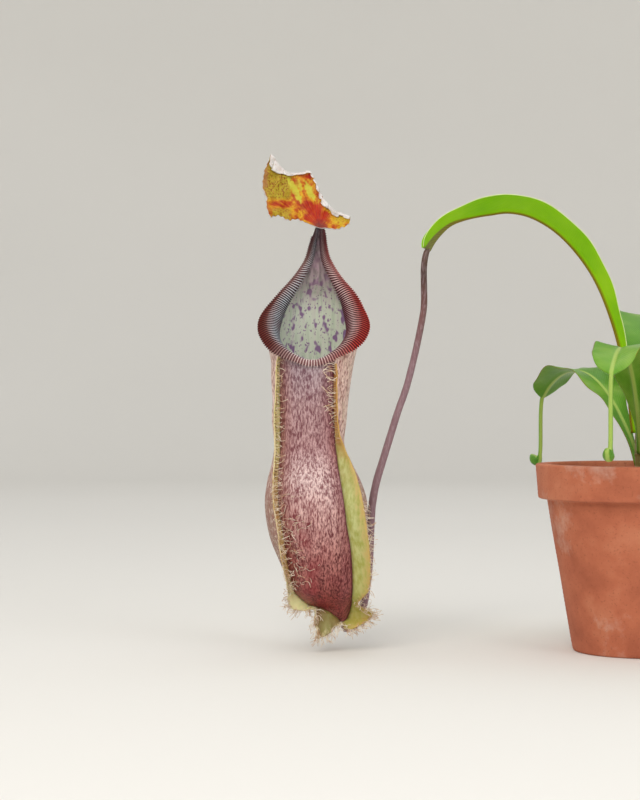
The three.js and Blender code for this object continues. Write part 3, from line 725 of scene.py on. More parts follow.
# Raises a sharp rib for every whole number of the rib attribute, and pulls both edges out to teeth.
def ribTree():
    tree, given = newTree("ribbedCollar", {"Rib height": "Float", "Tooth length": "Float"})
    rib, across = [add(tree, "GeometryNodeInputNamedAttribute", name) for name in ("rib", "across")]
    outward = add(tree, "GeometryNodeInputNamedAttribute", {"Name": "outward"},
                  data_type="FLOAT_VECTOR")
    isTop = add(tree, "FunctionNodeCompare", rib, -0.99, operation="GREATER_THAN")
    wave = add(tree, "Math", rib, turn, operation="MULTIPLY")
    wave = add(tree, "Math", wave, operation="COSINE")
    wave = add(tree, "Math", wave, 0.5, 0.5, operation="MULTIPLY_ADD")
    ridge = add(tree, "Math", wave, 1.8, operation="POWER")
    height = add(tree, "Math", ridge, given["Rib height"], operation="MULTIPLY")
    lift = add(tree, "VectorMath", add(tree, "GeometryNodeInputNormal"), height, operation="SCALE")
    edge = add(tree, "Math", across, 5, operation="POWER")
    tooth = add(tree, "Math", edge, ridge, operation="MULTIPLY")
    tooth = add(tree, "Math", tooth, given["Tooth length"], operation="MULTIPLY")
    pull = add(tree, "VectorMath", outward, tooth, operation="SCALE")
    offset = add(tree, "VectorMath", lift, pull)
    moved = add(tree, "GeometryNodeSetPosition",
                {"Geometry": given["Geometry"], "Selection": isTop, "Offset": offset})
    return closeTree(tree, given, moved)


# Peristome: hard, wet-looking ribs. Each crest carries a thin painted highlight, and the grooves are
# their own dark colour deepened with painted shade.
def peristomeFinish():
    finish, tree, at = newFinish("wetPeristome", {"IOR": 1.4, "Specular IOR Level": 0.3},
                                 ("rib", "across", "along"), blush=(11, 2, 0.5))
    across = add(tree, "MapRange", at.across, -1)
    isRight = add(tree, "MapRange", at.along, -0.18, 0.18)
    fromFront = add(tree, "Math", at.along, operation="ABSOLUTE")
    pale = add(tree, "ValToRGB", fromFront, stops=collar["pale"])
    # the front of the collar and the upper neck are greyer and paler, and the neck fades to dark
    parts = []
    for part, paleColour, neckColour in (("groovesAndShade", "#8d6264", "#21181c"),
                                         ("crestsAndHighlights", "#f2e0dc", "#54424a")):
        left, right = [add(tree, "ValToRGB", across, stops=stops) for stops in collar[part]]
        parts.append(coated(tree, left, (right, isRight), (paleColour, pale),
                            (neckColour, (fromFront, 0.84, 1, 0, 0.75))))
    wave = add(tree, "Math", at.rib, turn, operation="MULTIPLY")
    wave = add(tree, "Math", wave, operation="COSINE")
    # the crest colour, with its painted highlight, lies over the groove colour, with its painted
    # shade, once per rib
    colour = coated(tree, parts[0], (parts[1], (wave, 0.15, 0.9)),
                    ("#5a1c1c", (at.blush, 0.35, 0.75, 0, 0.35)))
    # the inner half is wet, and the outer half dull
    dull = add(tree, "MapRange", at.across, 0, 0.5, 0.26, 0.6)
    return closeFinish(finish, colour, Roughness=dull)


peristome = peristomeBase()
runTree(peristome, ribTree(),
        {"Rib height": collar["ribHeight"], "Tooth length": collar["toothLength"],
         "Finish": peristomeFinish()})
place(peristome, "peristome", "peristome")
print("peristome ready:", len(peristome.data.polygons), "faces")


# One tapered hair on every point, along its direction attribute. All measures are shares of its
# length attribute.
def hairTree():
    tree, given = newTree("hairs", {"Thickness": "Float", "Bend": "Float", "Seed": "Int"})
    line = add(tree, "GeometryNodeCurvePrimitiveLine", (0, 0, 0), (0, 0, 1))
    line = add(tree, "GeometryNodeResampleCurve", {"Curve": line, "Count": 8})
    share = add(tree, "GeometryNodeSplineParameter")
    # a slow S in one direction and a droop in the other
    curl = add(tree, "Math", add(tree, "Math", share, 3.8, operation="MULTIPLY"), operation="SINE")
    droop = add(tree, "Math", share, 2, operation="POWER")
    curl, droop = [add(tree, "Math", bend, given["Bend"], operation="MULTIPLY")
                   for bend in (curl, droop)]
    line = add(tree, "GeometryNodeSetPosition",
               {"Geometry": line, "Offset": add(tree, "CombineXYZ", curl, droop)})
    radius = add(tree, "Math", share, -0.8, 1, operation="MULTIPLY_ADD")
    line = add(tree, "GeometryNodeSetCurveRadius", {"Curve": line, "Radius": radius})
    ring = add(tree, "GeometryNodeCurvePrimitiveCircle",
               {"Resolution": 4, "Radius": given["Thickness"]})
    tube = add(tree, "GeometryNodeCurveToMesh", {"Curve": line, "Profile Curve": ring,
                                                 "Fill Caps": True})
    direction = add(tree, "GeometryNodeInputNamedAttribute", {"Name": "direction"},
                    data_type="FLOAT_VECTOR")
    length = add(tree, "GeometryNodeInputNamedAttribute", {"Name": "length"})
    aligned = add(tree, "FunctionNodeAlignRotationToVector", {"Vector": direction}, axis="Z")
    angle = add(tree, "FunctionNodeRandomValue", {"Min": 0, "Max": turn, "Seed": given["Seed"]})
    spin = add(tree, "FunctionNodeAxisAngleToRotation", (0, 0, 1), angle)
    rotation = add(tree, "FunctionNodeRotateRotation", aligned, spin, rotation_space="LOCAL")
    placed = add(tree, "GeometryNodeInstanceOnPoints",
                 {"Points": given["Geometry"], "Instance": tube, "Rotation": rotation,
                  "Scale": add(tree, "CombineXYZ", length, length, length)})
    return closeTree(tree, given, placed)


# roots: (place in mm, direction, length in mm)
def growHairs(name, roots, thickness, bend, seed, finish):
    values = {"direction": [tuple(root[1].normalized()) for root in roots],
              "length": [root[2] * metre for root in roots]}
    piece = makePiece(name, [root[0] for root in roots], [], values)
    runTree(piece, hairs, {"Thickness": thickness, "Bend": bend, "Seed": seed, "Finish": finish})
    place(piece, "wing")


hairs = hairTree()
# Plant hair: dry, dull threads. The fringes are cream, browner in places, and the ticks dark brown.
creamHair, brownHair = [
    plainFinish(name, {"Roughness": 0.55}, (4, 1, 0.5), [(0.35, dark), (0.6, pale)])
    for name, dark, pale in (("creamPlantHair", "#c39a74", "#f2e6d2"),
                             ("brownPlantHair", "#5a3a24", "#7d5a3c"))]

wings = {
    "acrossSteps": 8, "stepsPerRow": 7, "thickness": 0.9, "bow": 1.1, "frillLength": 13,
    "shortFrill": 5.3,
    "right": {
        # row of the wing's own table, height of the frill there
        "frill": [[0, 0.2], [12, 0.25], [14, 0.7], [20, 0.9]],
        "frillPhase": 0.4,
        "base": "#ccd596", "deep": "#a6ae5a", "margin": "#c9a058", "marginFrom": 0.24,
        # place along the wing, how brown it is there
        "browned": [(0.0, 0.95), (0.22, 0.85), (0.32, 0.35), (0.45, 0.05), (0.6, 0.0)],
        # place along the wing, how much of this colour lies there, and the colour: aged brown, and on
        # the left wing's flap painted light
        "agedAndLit": [(0.0, 0.6, "#c98a48"), (0.24, 0.5, "#c98a48"), (0.34, 0.0, "#b4a848"),
                 (0.8, 0.65, "#b09c34")],
        # what grows on the edge: first and last row, spacing, shortest, longest, direction (or None
        # for straight on from the blade), spread, how far back from the edge the roots scatter
        "hairs": [
            [0, 3, 1.25, 6, 12, (-0.8, -0.3, 0.1), 0.5, 3],
            [3, 5, 1.9, 4, 8, (-0.8, -0.3, 0), 0.5, 2],
            [5, 12, 0.9, 1, 2.4, None, 0.4, 0], [8, 14, 1, 3, 8, None, 0.8, 0.5],
            [14, 20, 0.3, 3.5, 8.5, None, 0.7, 1.5],
        ],
    },
    "left": {
        "frill": [[0, 0.15], [11, 0.2], [14, 0.8], [23, 0.9]],
        "frillPhase": 1.7,
        "base": "#e8dfa4", "deep": "#c6bd74", "margin": "#e2d2a6", "marginFrom": 0.36,
        "browned": [(0.0, 0.1), (0.25, 0.15), (0.32, 0.75), (0.48, 0.6), (0.52, 0.0), (0.68, 0.0),
                    (0.73, 0.9), (0.86, 0.6), (1.0, 0.9)],
        "agedAndLit": [(0.26, 0.0, "#b98a4c"), (0.34, 0.5, "#b98a4c"), (0.47, 0.5, "#b98a4c"),
                 # from 0.5 to 0.68 the pale cream is painted light over the left flap, which lies in
                 # shade
                 (0.5, 0.2, "#f2efb8"), (0.54, 0.7, "#f2efb8"), (0.68, 0.7, "#eef0b4"),
                 (0.75, 0.85, "#6c4628"), (0.88, 0.75, "#6a6a2a"), (1.0, 0.8, "#70502c")],
        "hairs": [
            [0, 7, 1.9, 3.5, 9, (0.8, -0.3, 0.1), 0.6, 2.5],
            [7, 12, 0.7, 3.5, 8, (0.7, -0.4, 0.1), 0.9, 2.5], [7, 12, 1.1, 1.5, 4.5, None, 0.7, 0],
            [12, 17, 0.36, 3.5, 8.5, None, 0.7, 1.5], [17, 23, 0.3, 3.5, 9, None, 0.7, 2.5],
        ],
        "ticks": [[0, 7, 2.4, 1.8, 3, (0.85, -0.35, -0.25), 0.15, 1.2]],
    },
    # hairs that stand on the panel itself, beside the left wing
    "panelHairs": {"count": 120, "seed": 5, "heights": (46, 118), "scatter": 7,
                   "direction": (0.6, -0.55, 0), "spread": (0.8, 0.2, 0.8), "lengths": (3.5, 8)},
    # seed of the draw, then thickness and bend as shares of a hair's length, and seed of its turn
    "growth": {"hairs_wing_right": (11, 0.026, 0.16, 1), "hairs_wing_left": (12, 0.025, 0.16, 2),
               "ticks_wing_left": (13, 0.09, 0.06, 3)},
}


# A wing as rows of points from its root to its free edge.
def wingGrid(rows, wing):
    keyed = [[i, *row] for i, row in enumerate(rows)]
    grid, travelled, last = [], 0, None
    for i in range(wings["stepsPerRow"] * (len(rows) - 1) + 1):
        row = i / wings["stepsPerRow"]
        rootAcross, rootHeight, edgeX, edgeHeight, forward = between(keyed, row)
        centreX, halfWidth, _, halfDepth = between(pitcher["sections"], rootHeight)
        sideways = clamp((rootAcross - centreX) / halfWidth, -0.985, 0.985)
        angle = math.asin(sideways)
        normal = Vector((sideways / halfWidth, -math.cos(angle) / halfDepth, 0)).normalized()
        root = pitcherPoint(angle, rootHeight) + normal * (wallRelief(angle, rootHeight) + 0.1)
        edge = Vector((edgeX, root.y - forward, edgeHeight))
        travelled += (edge - last).length if last else 0
        last = edge.copy()
        frill = math.sin(turn * travelled / wings["frillLength"] + wing["frillPhase"])
        frill += 0.5 * math.sin(turn * travelled / wings["shortFrill"] + 2 * wing["frillPhase"])
        frill *= between(wing["frill"], row)[0]
        sideDirection = (edge - root).cross(up).normalized()
        line = []
        for share in shares(wings["acrossSteps"]):
            spot = root.lerp(edge, share) + normal * (wings["bow"] * math.sin(math.pi * share))
            spot += sideDirection * (frill * share ** 3)
            line.append(spot + pitcherPlace)
        grid.append(line)
    return grid


# Wing tissue: thin yellow-green leaf skin with a dry cream margin, orange-brown where it is narrow,
# and painted light over the left wing's shaded flap.
def wingFinish(name, wing):
    finish, tree, at = newFinish(
        name, {"Roughness": 0.5, "IOR": 1.4, "Subsurface Weight": 0.1, "Subsurface Scale": 0.002},
        ("share", "run"), grain=((3, 3, 6.5), 4, 0.6), cloud=(7.5, 2, 0.5))
    browned = add(tree, "ValToRGB", at.run, stops=wing["browned"])
    agedAndLitShare = add(tree, "ValToRGB", at.run, stops=[(a, b) for a, b, _ in wing["agedAndLit"]])
    agedAndLitColour = add(tree, "ValToRGB", at.run, stops=[(a, c) for a, _, c in wing["agedAndLit"]])
    tint = add(tree, "Math", at.share, at.grain, operation="MULTIPLY")
    colour = coated(tree, wing["deep"], (wing["base"], (at.grain, 0.35, 0.62)),
                    ("#a5743c", browned, (at.cloud, 0.35, 0.6, 0.35, 1)), (agedAndLitColour, agedAndLitShare),
                    (wing["margin"], (tint, wing["marginFrom"], 0.56, 0, 0.8)))
    return closeFinish(finish, colour, at.grain, 0.3)


def wingPiece(side, grid, finish):
    columns = len(grid[0])
    values = {"share": shares(columns - 1) * len(grid),
              "run": [run for run in shares(len(grid) - 1) for _ in range(columns)]}
    piece = makePiece("wing_" + side + "_frilled", [p for line in grid for p in line],
                      gridFaces(len(grid), columns), values, [finish])
    place(thicken(piece, wings["thickness"]), "wing", "wing_" + side)


rightGrid, leftGrid = wingGrid(rightWing, wings["right"]), wingGrid(leftWing, wings["left"])
wingPiece("right", rightGrid, wingFinish("greenWing", wings["right"]))
wingPiece("left", leftGrid, wingFinish("yellowWing", wings["left"]))


# Roots of the hairs along a wing's edge, each with its direction and length.
def fringe(grid, bands, seed):
    draw = random.Random(seed)
    steps, made = wings["stepsPerRow"], []
    for first, last, spacing, low, high, way, spread, scatterBack in bands:
        lines = grid[first * steps:last * steps + 1]
        edge = [tuple(line[-1]) + tuple(line[-1] - line[-3]) + tuple(line[0]) for line in lines]
        total = evenly(edge, 4)[1]
        for spot in evenly(edge, int(total / spacing))[0]:
            direction = Vector(way) if way else Vector(spot[3:6]).normalized()
            direction += Vector([draw.uniform(-spread, spread) for _ in range(3)])
            back = Vector(spot[6:9]) - Vector(spot[:3])
            back *= clamp(draw.uniform(0, scatterBack) / max(back.length, 0.1), 0, 0.8)
            made.append((Vector(spot[:3]) + back, direction, draw.uniform(low, high)))
    return made


def panelHairs(kind):
    draw = random.Random(kind["seed"])
    made = []
    for _ in range(kind["count"]):
        height = draw.uniform(*kind["heights"])
        centreX, halfWidth = between(pitcher["sections"], height)[:2]
        across = rootX(leftWing, height) + abs(draw.gauss(0, kind["scatter"]))
        angle = math.asin(clamp((across - centreX) / halfWidth, -0.98, 0.98))
        direction = Vector(kind["direction"])
        direction += Vector([draw.uniform(-reach, reach) for reach in kind["spread"]])
        spot = pitcherPoint(angle, height) + pitcherPlace
        made.append((spot, direction, draw.uniform(*kind["lengths"])))
    return made


panelRoots = panelHairs(wings["panelHairs"])
for name, grid, bands, more, finish in (
        ("hairs_wing_right", rightGrid, wings["right"]["hairs"], [], creamHair),
        ("hairs_wing_left", leftGrid, wings["left"]["hairs"], panelRoots, creamHair),
        ("ticks_wing_left", leftGrid, wings["left"]["ticks"], [], brownHair)):
    seed, *form = wings["growth"][name]
    growHairs(name, fringe(grid, bands, seed) + more, *form, finish)
print("wings and fringes ready")

# From left to right: lower edge x and height, upper edge x and height, depths of both edges.
lid = {
    "columns": [
        [-34, 321.4, -34.3, 369, 4, 16], [-30, 322.4, -30.3, 363.5, 6, 19],
        [-26.5, 322.4, -27, 359.6, 7, 20.6], [-21.5, 319.4, -22.5, 356.5, 8, 22],
        [-15, 320.2, -16.2, 355.4, 9, 23.4], [-10, 318.4, -11, 355.7, 9, 24],
        [-4, 315.8, -4.6, 357, 8, 24], [3, 313.2, 0.8, 346, 6.2, 21],
        [8.5, 313.2, 6, 335, 6.4, 18], [15, 312.3, 13, 327.5, 6, 13],
        [21, 313.8, 20.5, 323, 4, 8], [25.6, 317, 25.8, 321, 2, 4],
    ],
    "columnSteps": 12,
    "rowSteps": 36,
    "rollSteps": 12,
    "leftBulge": 6.2,
    "hollow": 3,
    "thickness": 0.9,
    # x, width of the margin that is rolled over to the front
    "roll": [[-35, 0.4], [-32.5, 6.6], [-27, 4.2], [-22, 1.6], [-14, 0.8], [-7, 0.5], [-4, 0.2],
             [-0.5, 0.2], [1.5, 2.2], [5, 4.4], [11, 3.6], [17, 2.6], [22, 1.4], [26, 0.5]],
    "rollRadius": 0.8,
    "joint": (3, 313),
    # marks on the underside: from x and height, to x and height, width, strength
    "streaks": [[-21.2, 353, -11, 333, 5.6, 1], [-8.6, 350.5, -1.4, 335.4, 5.6, 1],
                [-16, 353, -11, 342, 5, 0.8]],
    "ridges": [[-21, 350, -12, 327, 3.4, 0.55], [-13.2, 351.5, -3, 328, 3.4, 0.6]],
    # red flushes out from the joint: angles where each rises and falls, reach where it fades
    "wedge": [78, 92, 122, 138, 19, 27],
    "flare": [40, 60, 146, 160, 13, 19],
    "foot": [5, 9],
    # red spots: x, height, radius where each starts to fade and ends, raggedness, strength
    "spots": [[-6, 354, 1.6, 3.6, 0.2, 1], [-36, 325.5, 2, 5.5, 0.3, 0.6]],
    # a red band across the left part: height at x -28, slope, half widths, where it ends, strength
    "band": [331.4, 0.1, 1, 4, -21, -13, 0.75],
    # olive on the left part, above and below these heights; a pale streak right of these x
    "oliveAbove": [333, 338], "oliveBelow": [327, 330], "oliveEnd": [-21, -17],
    "streakFrom": [9, 14], "streakStrength": 0.36,
    # the dry brown left edge: its x, and how far in it fades
    "brownEdge": [-40, 1.2, 5],
    # colours of the underside, of its olive part and of the back, each along its pattern; the back's
    # pale grey-white is partly a painted sky reflection where the rolled margin shows it
    "base": [(0.34, "#a8420f"), (0.45, "#c07418"), (0.57, "#d2a424"), (0.72, "#c28419")],
    "olive": [(0.36, "#823c14"), (0.45, "#98701d"), (0.53, "#b0a92e"), (0.66, "#b0b034")],
    "back": [(0.35, "#c6c0bc"), (0.5, "#dcd9d7"), (0.68, "#d5cac5")],
}
lidColours = ("red", "streak", "olive", "brown", "angle", "reach")


# The strongest of some marks at a place. Each is a spindle along a line, with torn edges.
def marked(marks, x, z):
    found = []
    for ax, az, bx, bz, width, strength in marks:
        dx, dz = bx - ax, bz - az
        t = clamp(((x - ax) * dx + (z - az) * dz) / (dx * dx + dz * dz))
        torn = noise.noise(Vector((x * 0.45, z * 0.28, 3))) + noise.noise(Vector((x, z * 0.7, 8)))
        gap = math.hypot(x - ax - t * dx, z - az - t * dz) + 0.22 * width * torn
        girth = width * (1 - 0.75 * abs(2 * t - 1) ** 1.6)
        found.append(strength * (1 - smoothStep(0.3 * girth, 0.75 * girth, gap)))
    return max(found)


# How much of each colour a place on the lid's underside has.
def lidMasks(x, z):
    arm = Vector((x, z)) - Vector(lid["joint"])
    angle = math.degrees(math.atan2(arm.y, arm.x))
    wobble = 5 * noise.noise(Vector((x / 6, z / 6, 0)))
    reds = [1 - smoothStep(*lid["foot"], arm.length + 0.4 * wobble), marked(lid["ridges"], x, z)]
    for part, ragged in (("wedge", wobble), ("flare", 0)):
        *sides, fadeFrom, fadeTo = lid[part]
        rays = window(*sides, angle + ragged)
        reds.append(rays * (1 - smoothStep(fadeFrom, fadeTo, arm.length + wobble)))
    for spotX, spotZ, inner, outer, ragged, strength in lid["spots"]:
        gap = math.hypot(x - spotX, z - spotZ) + wobble * ragged
        reds.append(strength * (1 - smoothStep(inner, outer, gap)))
    level, slope, inner, outer, endFrom, endTo, strength = lid["band"]
    gap = abs(z - level - slope * (x + 28)) + 0.6 * wobble
    strength *= 1 - smoothStep(endFrom, endTo, x)
    reds.append(strength * (1 - smoothStep(inner, outer, gap)))
    streak = lid["streakStrength"] * smoothStep(*lid["streakFrom"], x + wobble)
    streak = max(marked(lid["streaks"], x, z), streak)
    red = clamp(max(reds) - 0.7 * streak)
    below = 0.85 - 0.85 * smoothStep(*lid["oliveBelow"], z + 0.3 * wobble)
    olive = max(smoothStep(*lid["oliveAbove"], z), below)
    olive *= (1 - smoothStep(*lid["oliveEnd"], x)) * (1 - red)
    edgeX, *fading = lid["brownEdge"]
    brown = 1 - smoothStep(*fading, x - edgeX + 0.7 * wobble)
    return red, streak, olive, brown, angle * 0.35, arm.length * 0.06


def lidPiece(finishes):
    keyed = [[i, *row] for i, row in enumerate(lid["columns"])]
    last = len(keyed) - 1
    count = lid["columnSteps"] * last
    rows, rollSteps, radius = lid["rowSteps"], lid["rollSteps"], lid["rollRadius"]

    def sheetPoint(column, share):
        lowX, lowZ, highX, highZ, lowY, highY = between(keyed, column)
        bow = 4 * share * (1 - share)
        leftness = clamp((-12 - lowX) / 22) ** 2
        spot = Vector((mix(lowX, highX, share) - lid["leftBulge"] * bow * leftness,
                       mix(lowY, highY, share) + lid["hollow"] * bow * (highZ - lowZ) / 45,
                       mix(lowZ, highZ, share)))
        arm = Vector((spot.x, spot.z)) - Vector(lid["joint"])
        reach = smoothStep(4, 22, arm.length)
        folds = math.sin(math.atan2(arm.y, arm.x) * 11 + 0.8) * 0.9 * reach
        crumple = noise.noise(spot * 0.16) * 2.2 * reach + noise.noise(spot * 0.42) * 0.6
        frill = math.sin(spot.x * 0.9) * 0.9 * (1 - smoothStep(0, 0.16, share)) * reach
        spot.y += folds + crumple + frill
        spot.z += 0.5 * math.sin(spot.x * 1.7) * (1 - smoothStep(0, 0.1, share)) * reach
        # the left edge is crinkled, with one notch
        notch = 2.8 * math.exp(-((spot.z - 336.6) / 3.2) ** 2) + 1.3 * noise.noise(spot * 0.33)
        spot.x += notch * max(0, (-30.4 - lowX) / 3.6)
        return spot

    points, masks = [], []
    for column in [i / lid["columnSteps"] for i in range(count + 1)]:
        sheet = [sheetPoint(column, share) for share in shares(rows)]
        points += [spot + pitcherPlace for spot in sheet]
        masks += [lidMasks(spot.x, spot.z) for spot in sheet]
        top = sheet[-1]
        sideways = sheetPoint(min(column + 0.1, last), 1) - sheetPoint(max(column - 0.1, 0), 1)
        down = (sheetPoint(column, 0.94) - top).normalized()
        front = down.cross(sideways).normalized()
        if front.y > 0:
            front = -front
        sheetLength = (sheetPoint(column, 0.9) - top).length / 0.1
        width = between(lid["roll"], top.x)[0]
        for k in range(1, rollSteps + 1):
            bend = min(k / 5, 1) * math.pi
            slide = max(0, k - 5) / (rollSteps - 5) * width
            # the rolled strip follows the folds of the sheet behind it
            behind = sheetPoint(column, 1 - slide / sheetLength) - top
            spot = top + front * radius * (1 - math.cos(bend)) - down * radius * math.sin(bend)
            spot += behind + front * 0.12 * slide
            points.append(spot + pitcherPlace)
            masks.append(lidMasks(top.x, top.z))
    columns = rows + 1 + rollSteps
    values = {name: [m[k] for m in masks] for k, name in enumerate(lidColours)}
    piece = makePiece("lid_blade", points, gridFaces(count + 1, columns), values, finishes)
    # the first face must look forward, so that the front gets the first finish
    if piece.data.polygons[columns * 4].normal.y > 0:
        piece.data.flip_normals()
    place(thicken(piece, lid["thickness"], 1), "lid", "lid")


# Lid underside: thin ripe leaf skin, yellow with orange and blood-red flushes and fine specks.
def lidFinish():
    finish, tree, at = newFinish(
        "flushedLidSkin", {"Roughness": 0.48, "IOR": 1.42, "Specular IOR Level": 0.25}, lidColours,
        fine=(1.3, 3, 0.6), broad=(6, 3, 0.5))
    base, olive = [add(tree, "ValToRGB", source, stops=lid[part])
                   for part, source in (("base", at.broad), ("olive", at.fine))]
    # flushes run out from the joint in thin rays
    ray = add(tree, "TexNoise", add(tree, "CombineXYZ", at.angle, at.reach), 1, 3, 0.6)
    edges = [add(tree, "Math", source, gain, -gain / 2, operation="MULTIPLY_ADD")
             for source, gain in ((at.broad, 1.6), (ray, 1.8))]
    streak, red = [add(tree, "Math", share, edge)
                   for share, edge in zip((at.streak, at.red), edges)]
    # dark veins in the flush, and a bruised purple at the joint itself
    redColour = coated(
        tree, "#8c0f08", ("#c2300f", at.broad), ("#6e1414", (ray, 0.52, 0.66, 0, 0.6)),
        ("#5a2c30", (at.reach, 0.2, 0.5, 0.75, 0)))
    colour = coated(
        tree, base, (olive, at.olive), ("#c0bb3c", (streak, 0.3, 0.9, 0, 0.92)),
        (redColour, (red, 0.25, 0.95)),
        ("#a8381a", (at.fine, 0.53, 0.62, 0, 0.6), (at.streak, 0.4, 0.9, 1, 0.15)),
        ("#a06a44", (at.brown, 0, 1, 0, 0.8)))
    return closeFinish(finish, colour, at.fine, 0.4)


# Lid back: the same leaf without its flush, pale, dry and faintly pink between fine veins; its pale
# grey-white is partly a painted sky reflection where the rolled margin shows it at the front.
def lidBackAndReflectionFinish():
    finish, tree, at = newFinish("paleLidBackAndReflection", {"Roughness": 0.6, "IOR": 1.42}, broad=(8, 3, 0.5),
                                 fine=(1.4, 2, 0.5))
    colour = coated(tree, add(tree, "ValToRGB", at.broad, stops=lid["back"]),
                    ("#b98a7c", (at.fine, 0.6, 0.72, 0, 0.5)))
    return closeFinish(finish, colour, at.fine, 0.3)


lidPiece([lidFinish(), lidBackAndReflectionFinish()])
print("lid ready")


# Rings of a tube along a path. Radius and relief, a share of the radius, follow the place on it.
def tubeRings(path, radiusAt, sides, relief=None):
    rings = []
    for i, spot in enumerate(path):
        along = (path[min(i + 1, len(path) - 1)] - path[max(i - 1, 0)]).normalized()
        across = along.cross(Vector((0, 1, 0.01))).normalized()
        upward = along.cross(across).normalized()
        share = i / (len(path) - 1)
        ring = []
        for angle in angles(sides):
            radius = radiusAt(share) * (1 + (relief(angle, share) if relief else 0))
            ring.append(spot + across * radius * math.cos(angle)
                        + upward * radius * math.sin(angle))
        rings.append(ring)
    return rings


# The point behind the lid's joint, covered by the pitcher's own skin.
spur = {
    "foot": (2.2, 19.6, 305.8), "reach": (1, 7.3, 7.2), "footRadius": 1.3, "tipRadius": 0.35,
    "steps": 16, "sides": 12, "skinValues": {"panel": offPanel, "inner": 0.0, "rightness": 0.5},
}
reachX, reachY, reachUp = spur["reach"]
spurLine = [pitcherPlace + Vector(spur["foot"]) + Vector((reachX * t, reachY * t, reachUp * t * t))
            for t in shares(spur["steps"])]
spurRings = tubeRings(spurLine, lambda share: mix(spur["footRadius"], spur["tipRadius"], share),
                      spur["sides"])
spurValues = {label: [value] * len(spurLine) * spur["sides"]
              for label, value in spur["skinValues"].items()}
place(loftPiece("spur_point", spurRings, spurValues, [pitcherSkin]), "pitcher_wall", "spur")

tendril = {
    "path": [
        [-160.4, 0, 302.4], [-162.6, 0, 297], [-164, 0, 288.5], [-164, 1, 272], [-164, 2, 258],
        [-166.5, 4, 242], [-169.5, 6, 227], [-173.2, 8, 211], [-177.5, 9, 195], [-182.8, 10, 180],
        [-188.6, 12, 161], [-194.4, 13, 142], [-199.4, 15, 125], [-202.4, 17, 108],
        [-203.6, 19, 90], [-204.5, 20, 68], [-206.4, 18.5, 48], [-209, 15.5, 33],
        [-212.5, 11.5, 22], [-217.5, 7.2, 16.4], [-223.4, 2.8, 16.6],
    ],
    "topRadius": 2.3,
    "footRadius": 3.0,
    "steps": 220,
    "sides": 20,
    # colours from the floor up
    "colours": [(0.05, "#82606a"), (0.4, "#8b6e75"), (0.68, "#8a6b72"), (0.82, "#744f4c"),
                (0.91, "#46302a"), (1.0, "#6b5044")],
    "flecks": "#b09a9f",
}


# Woody skin of a tendril or a shoot: smooth and dull, with fine lengthwise ridges and flecks.
def cordFinish(name, cord):
    finish, tree, at = newFinish(name, {"Roughness": 0.36, "IOR": 1.5, "Specular IOR Level": 0.3},
                                 fleck=((0.7, 0.7, 6), 3, 0.5))
    share = add(tree, "MapRange", at.height, 0, 0.31)
    colour = coated(tree, add(tree, "ValToRGB", share, stops=cord["colours"]),
                    (cord["flecks"], (at.fleck, 0.48, 0.66, 0, 0.45)))
    return closeFinish(finish, colour, at.fleck, 0.4, 0.0005)


def tendrilRadius(share):
    radius = mix(tendril["topRadius"], tendril["footRadius"], min(1.4 * share, 1))
    return radius * mix(0.8, 1, smoothStep(0, 0.02, share))


def cordRelief(angle, share):
    return 0.03 * math.sin(5 * angle + 9 * share) + 0.04 * noise.noise(polar(angle, 1, share * 40))


tendrilLine = smoothLine(tendril["path"], tendril["steps"])
tendrilRings = tubeRings(tendrilLine, tendrilRadius, tendril["sides"], cordRelief)
tendrilFinish = cordFinish("woodyTendril", tendril)
place(loftPiece("tendril_cord", tendrilRings, finishes=[tendrilFinish]), "tendril", "tendril")
print("tendril ready")

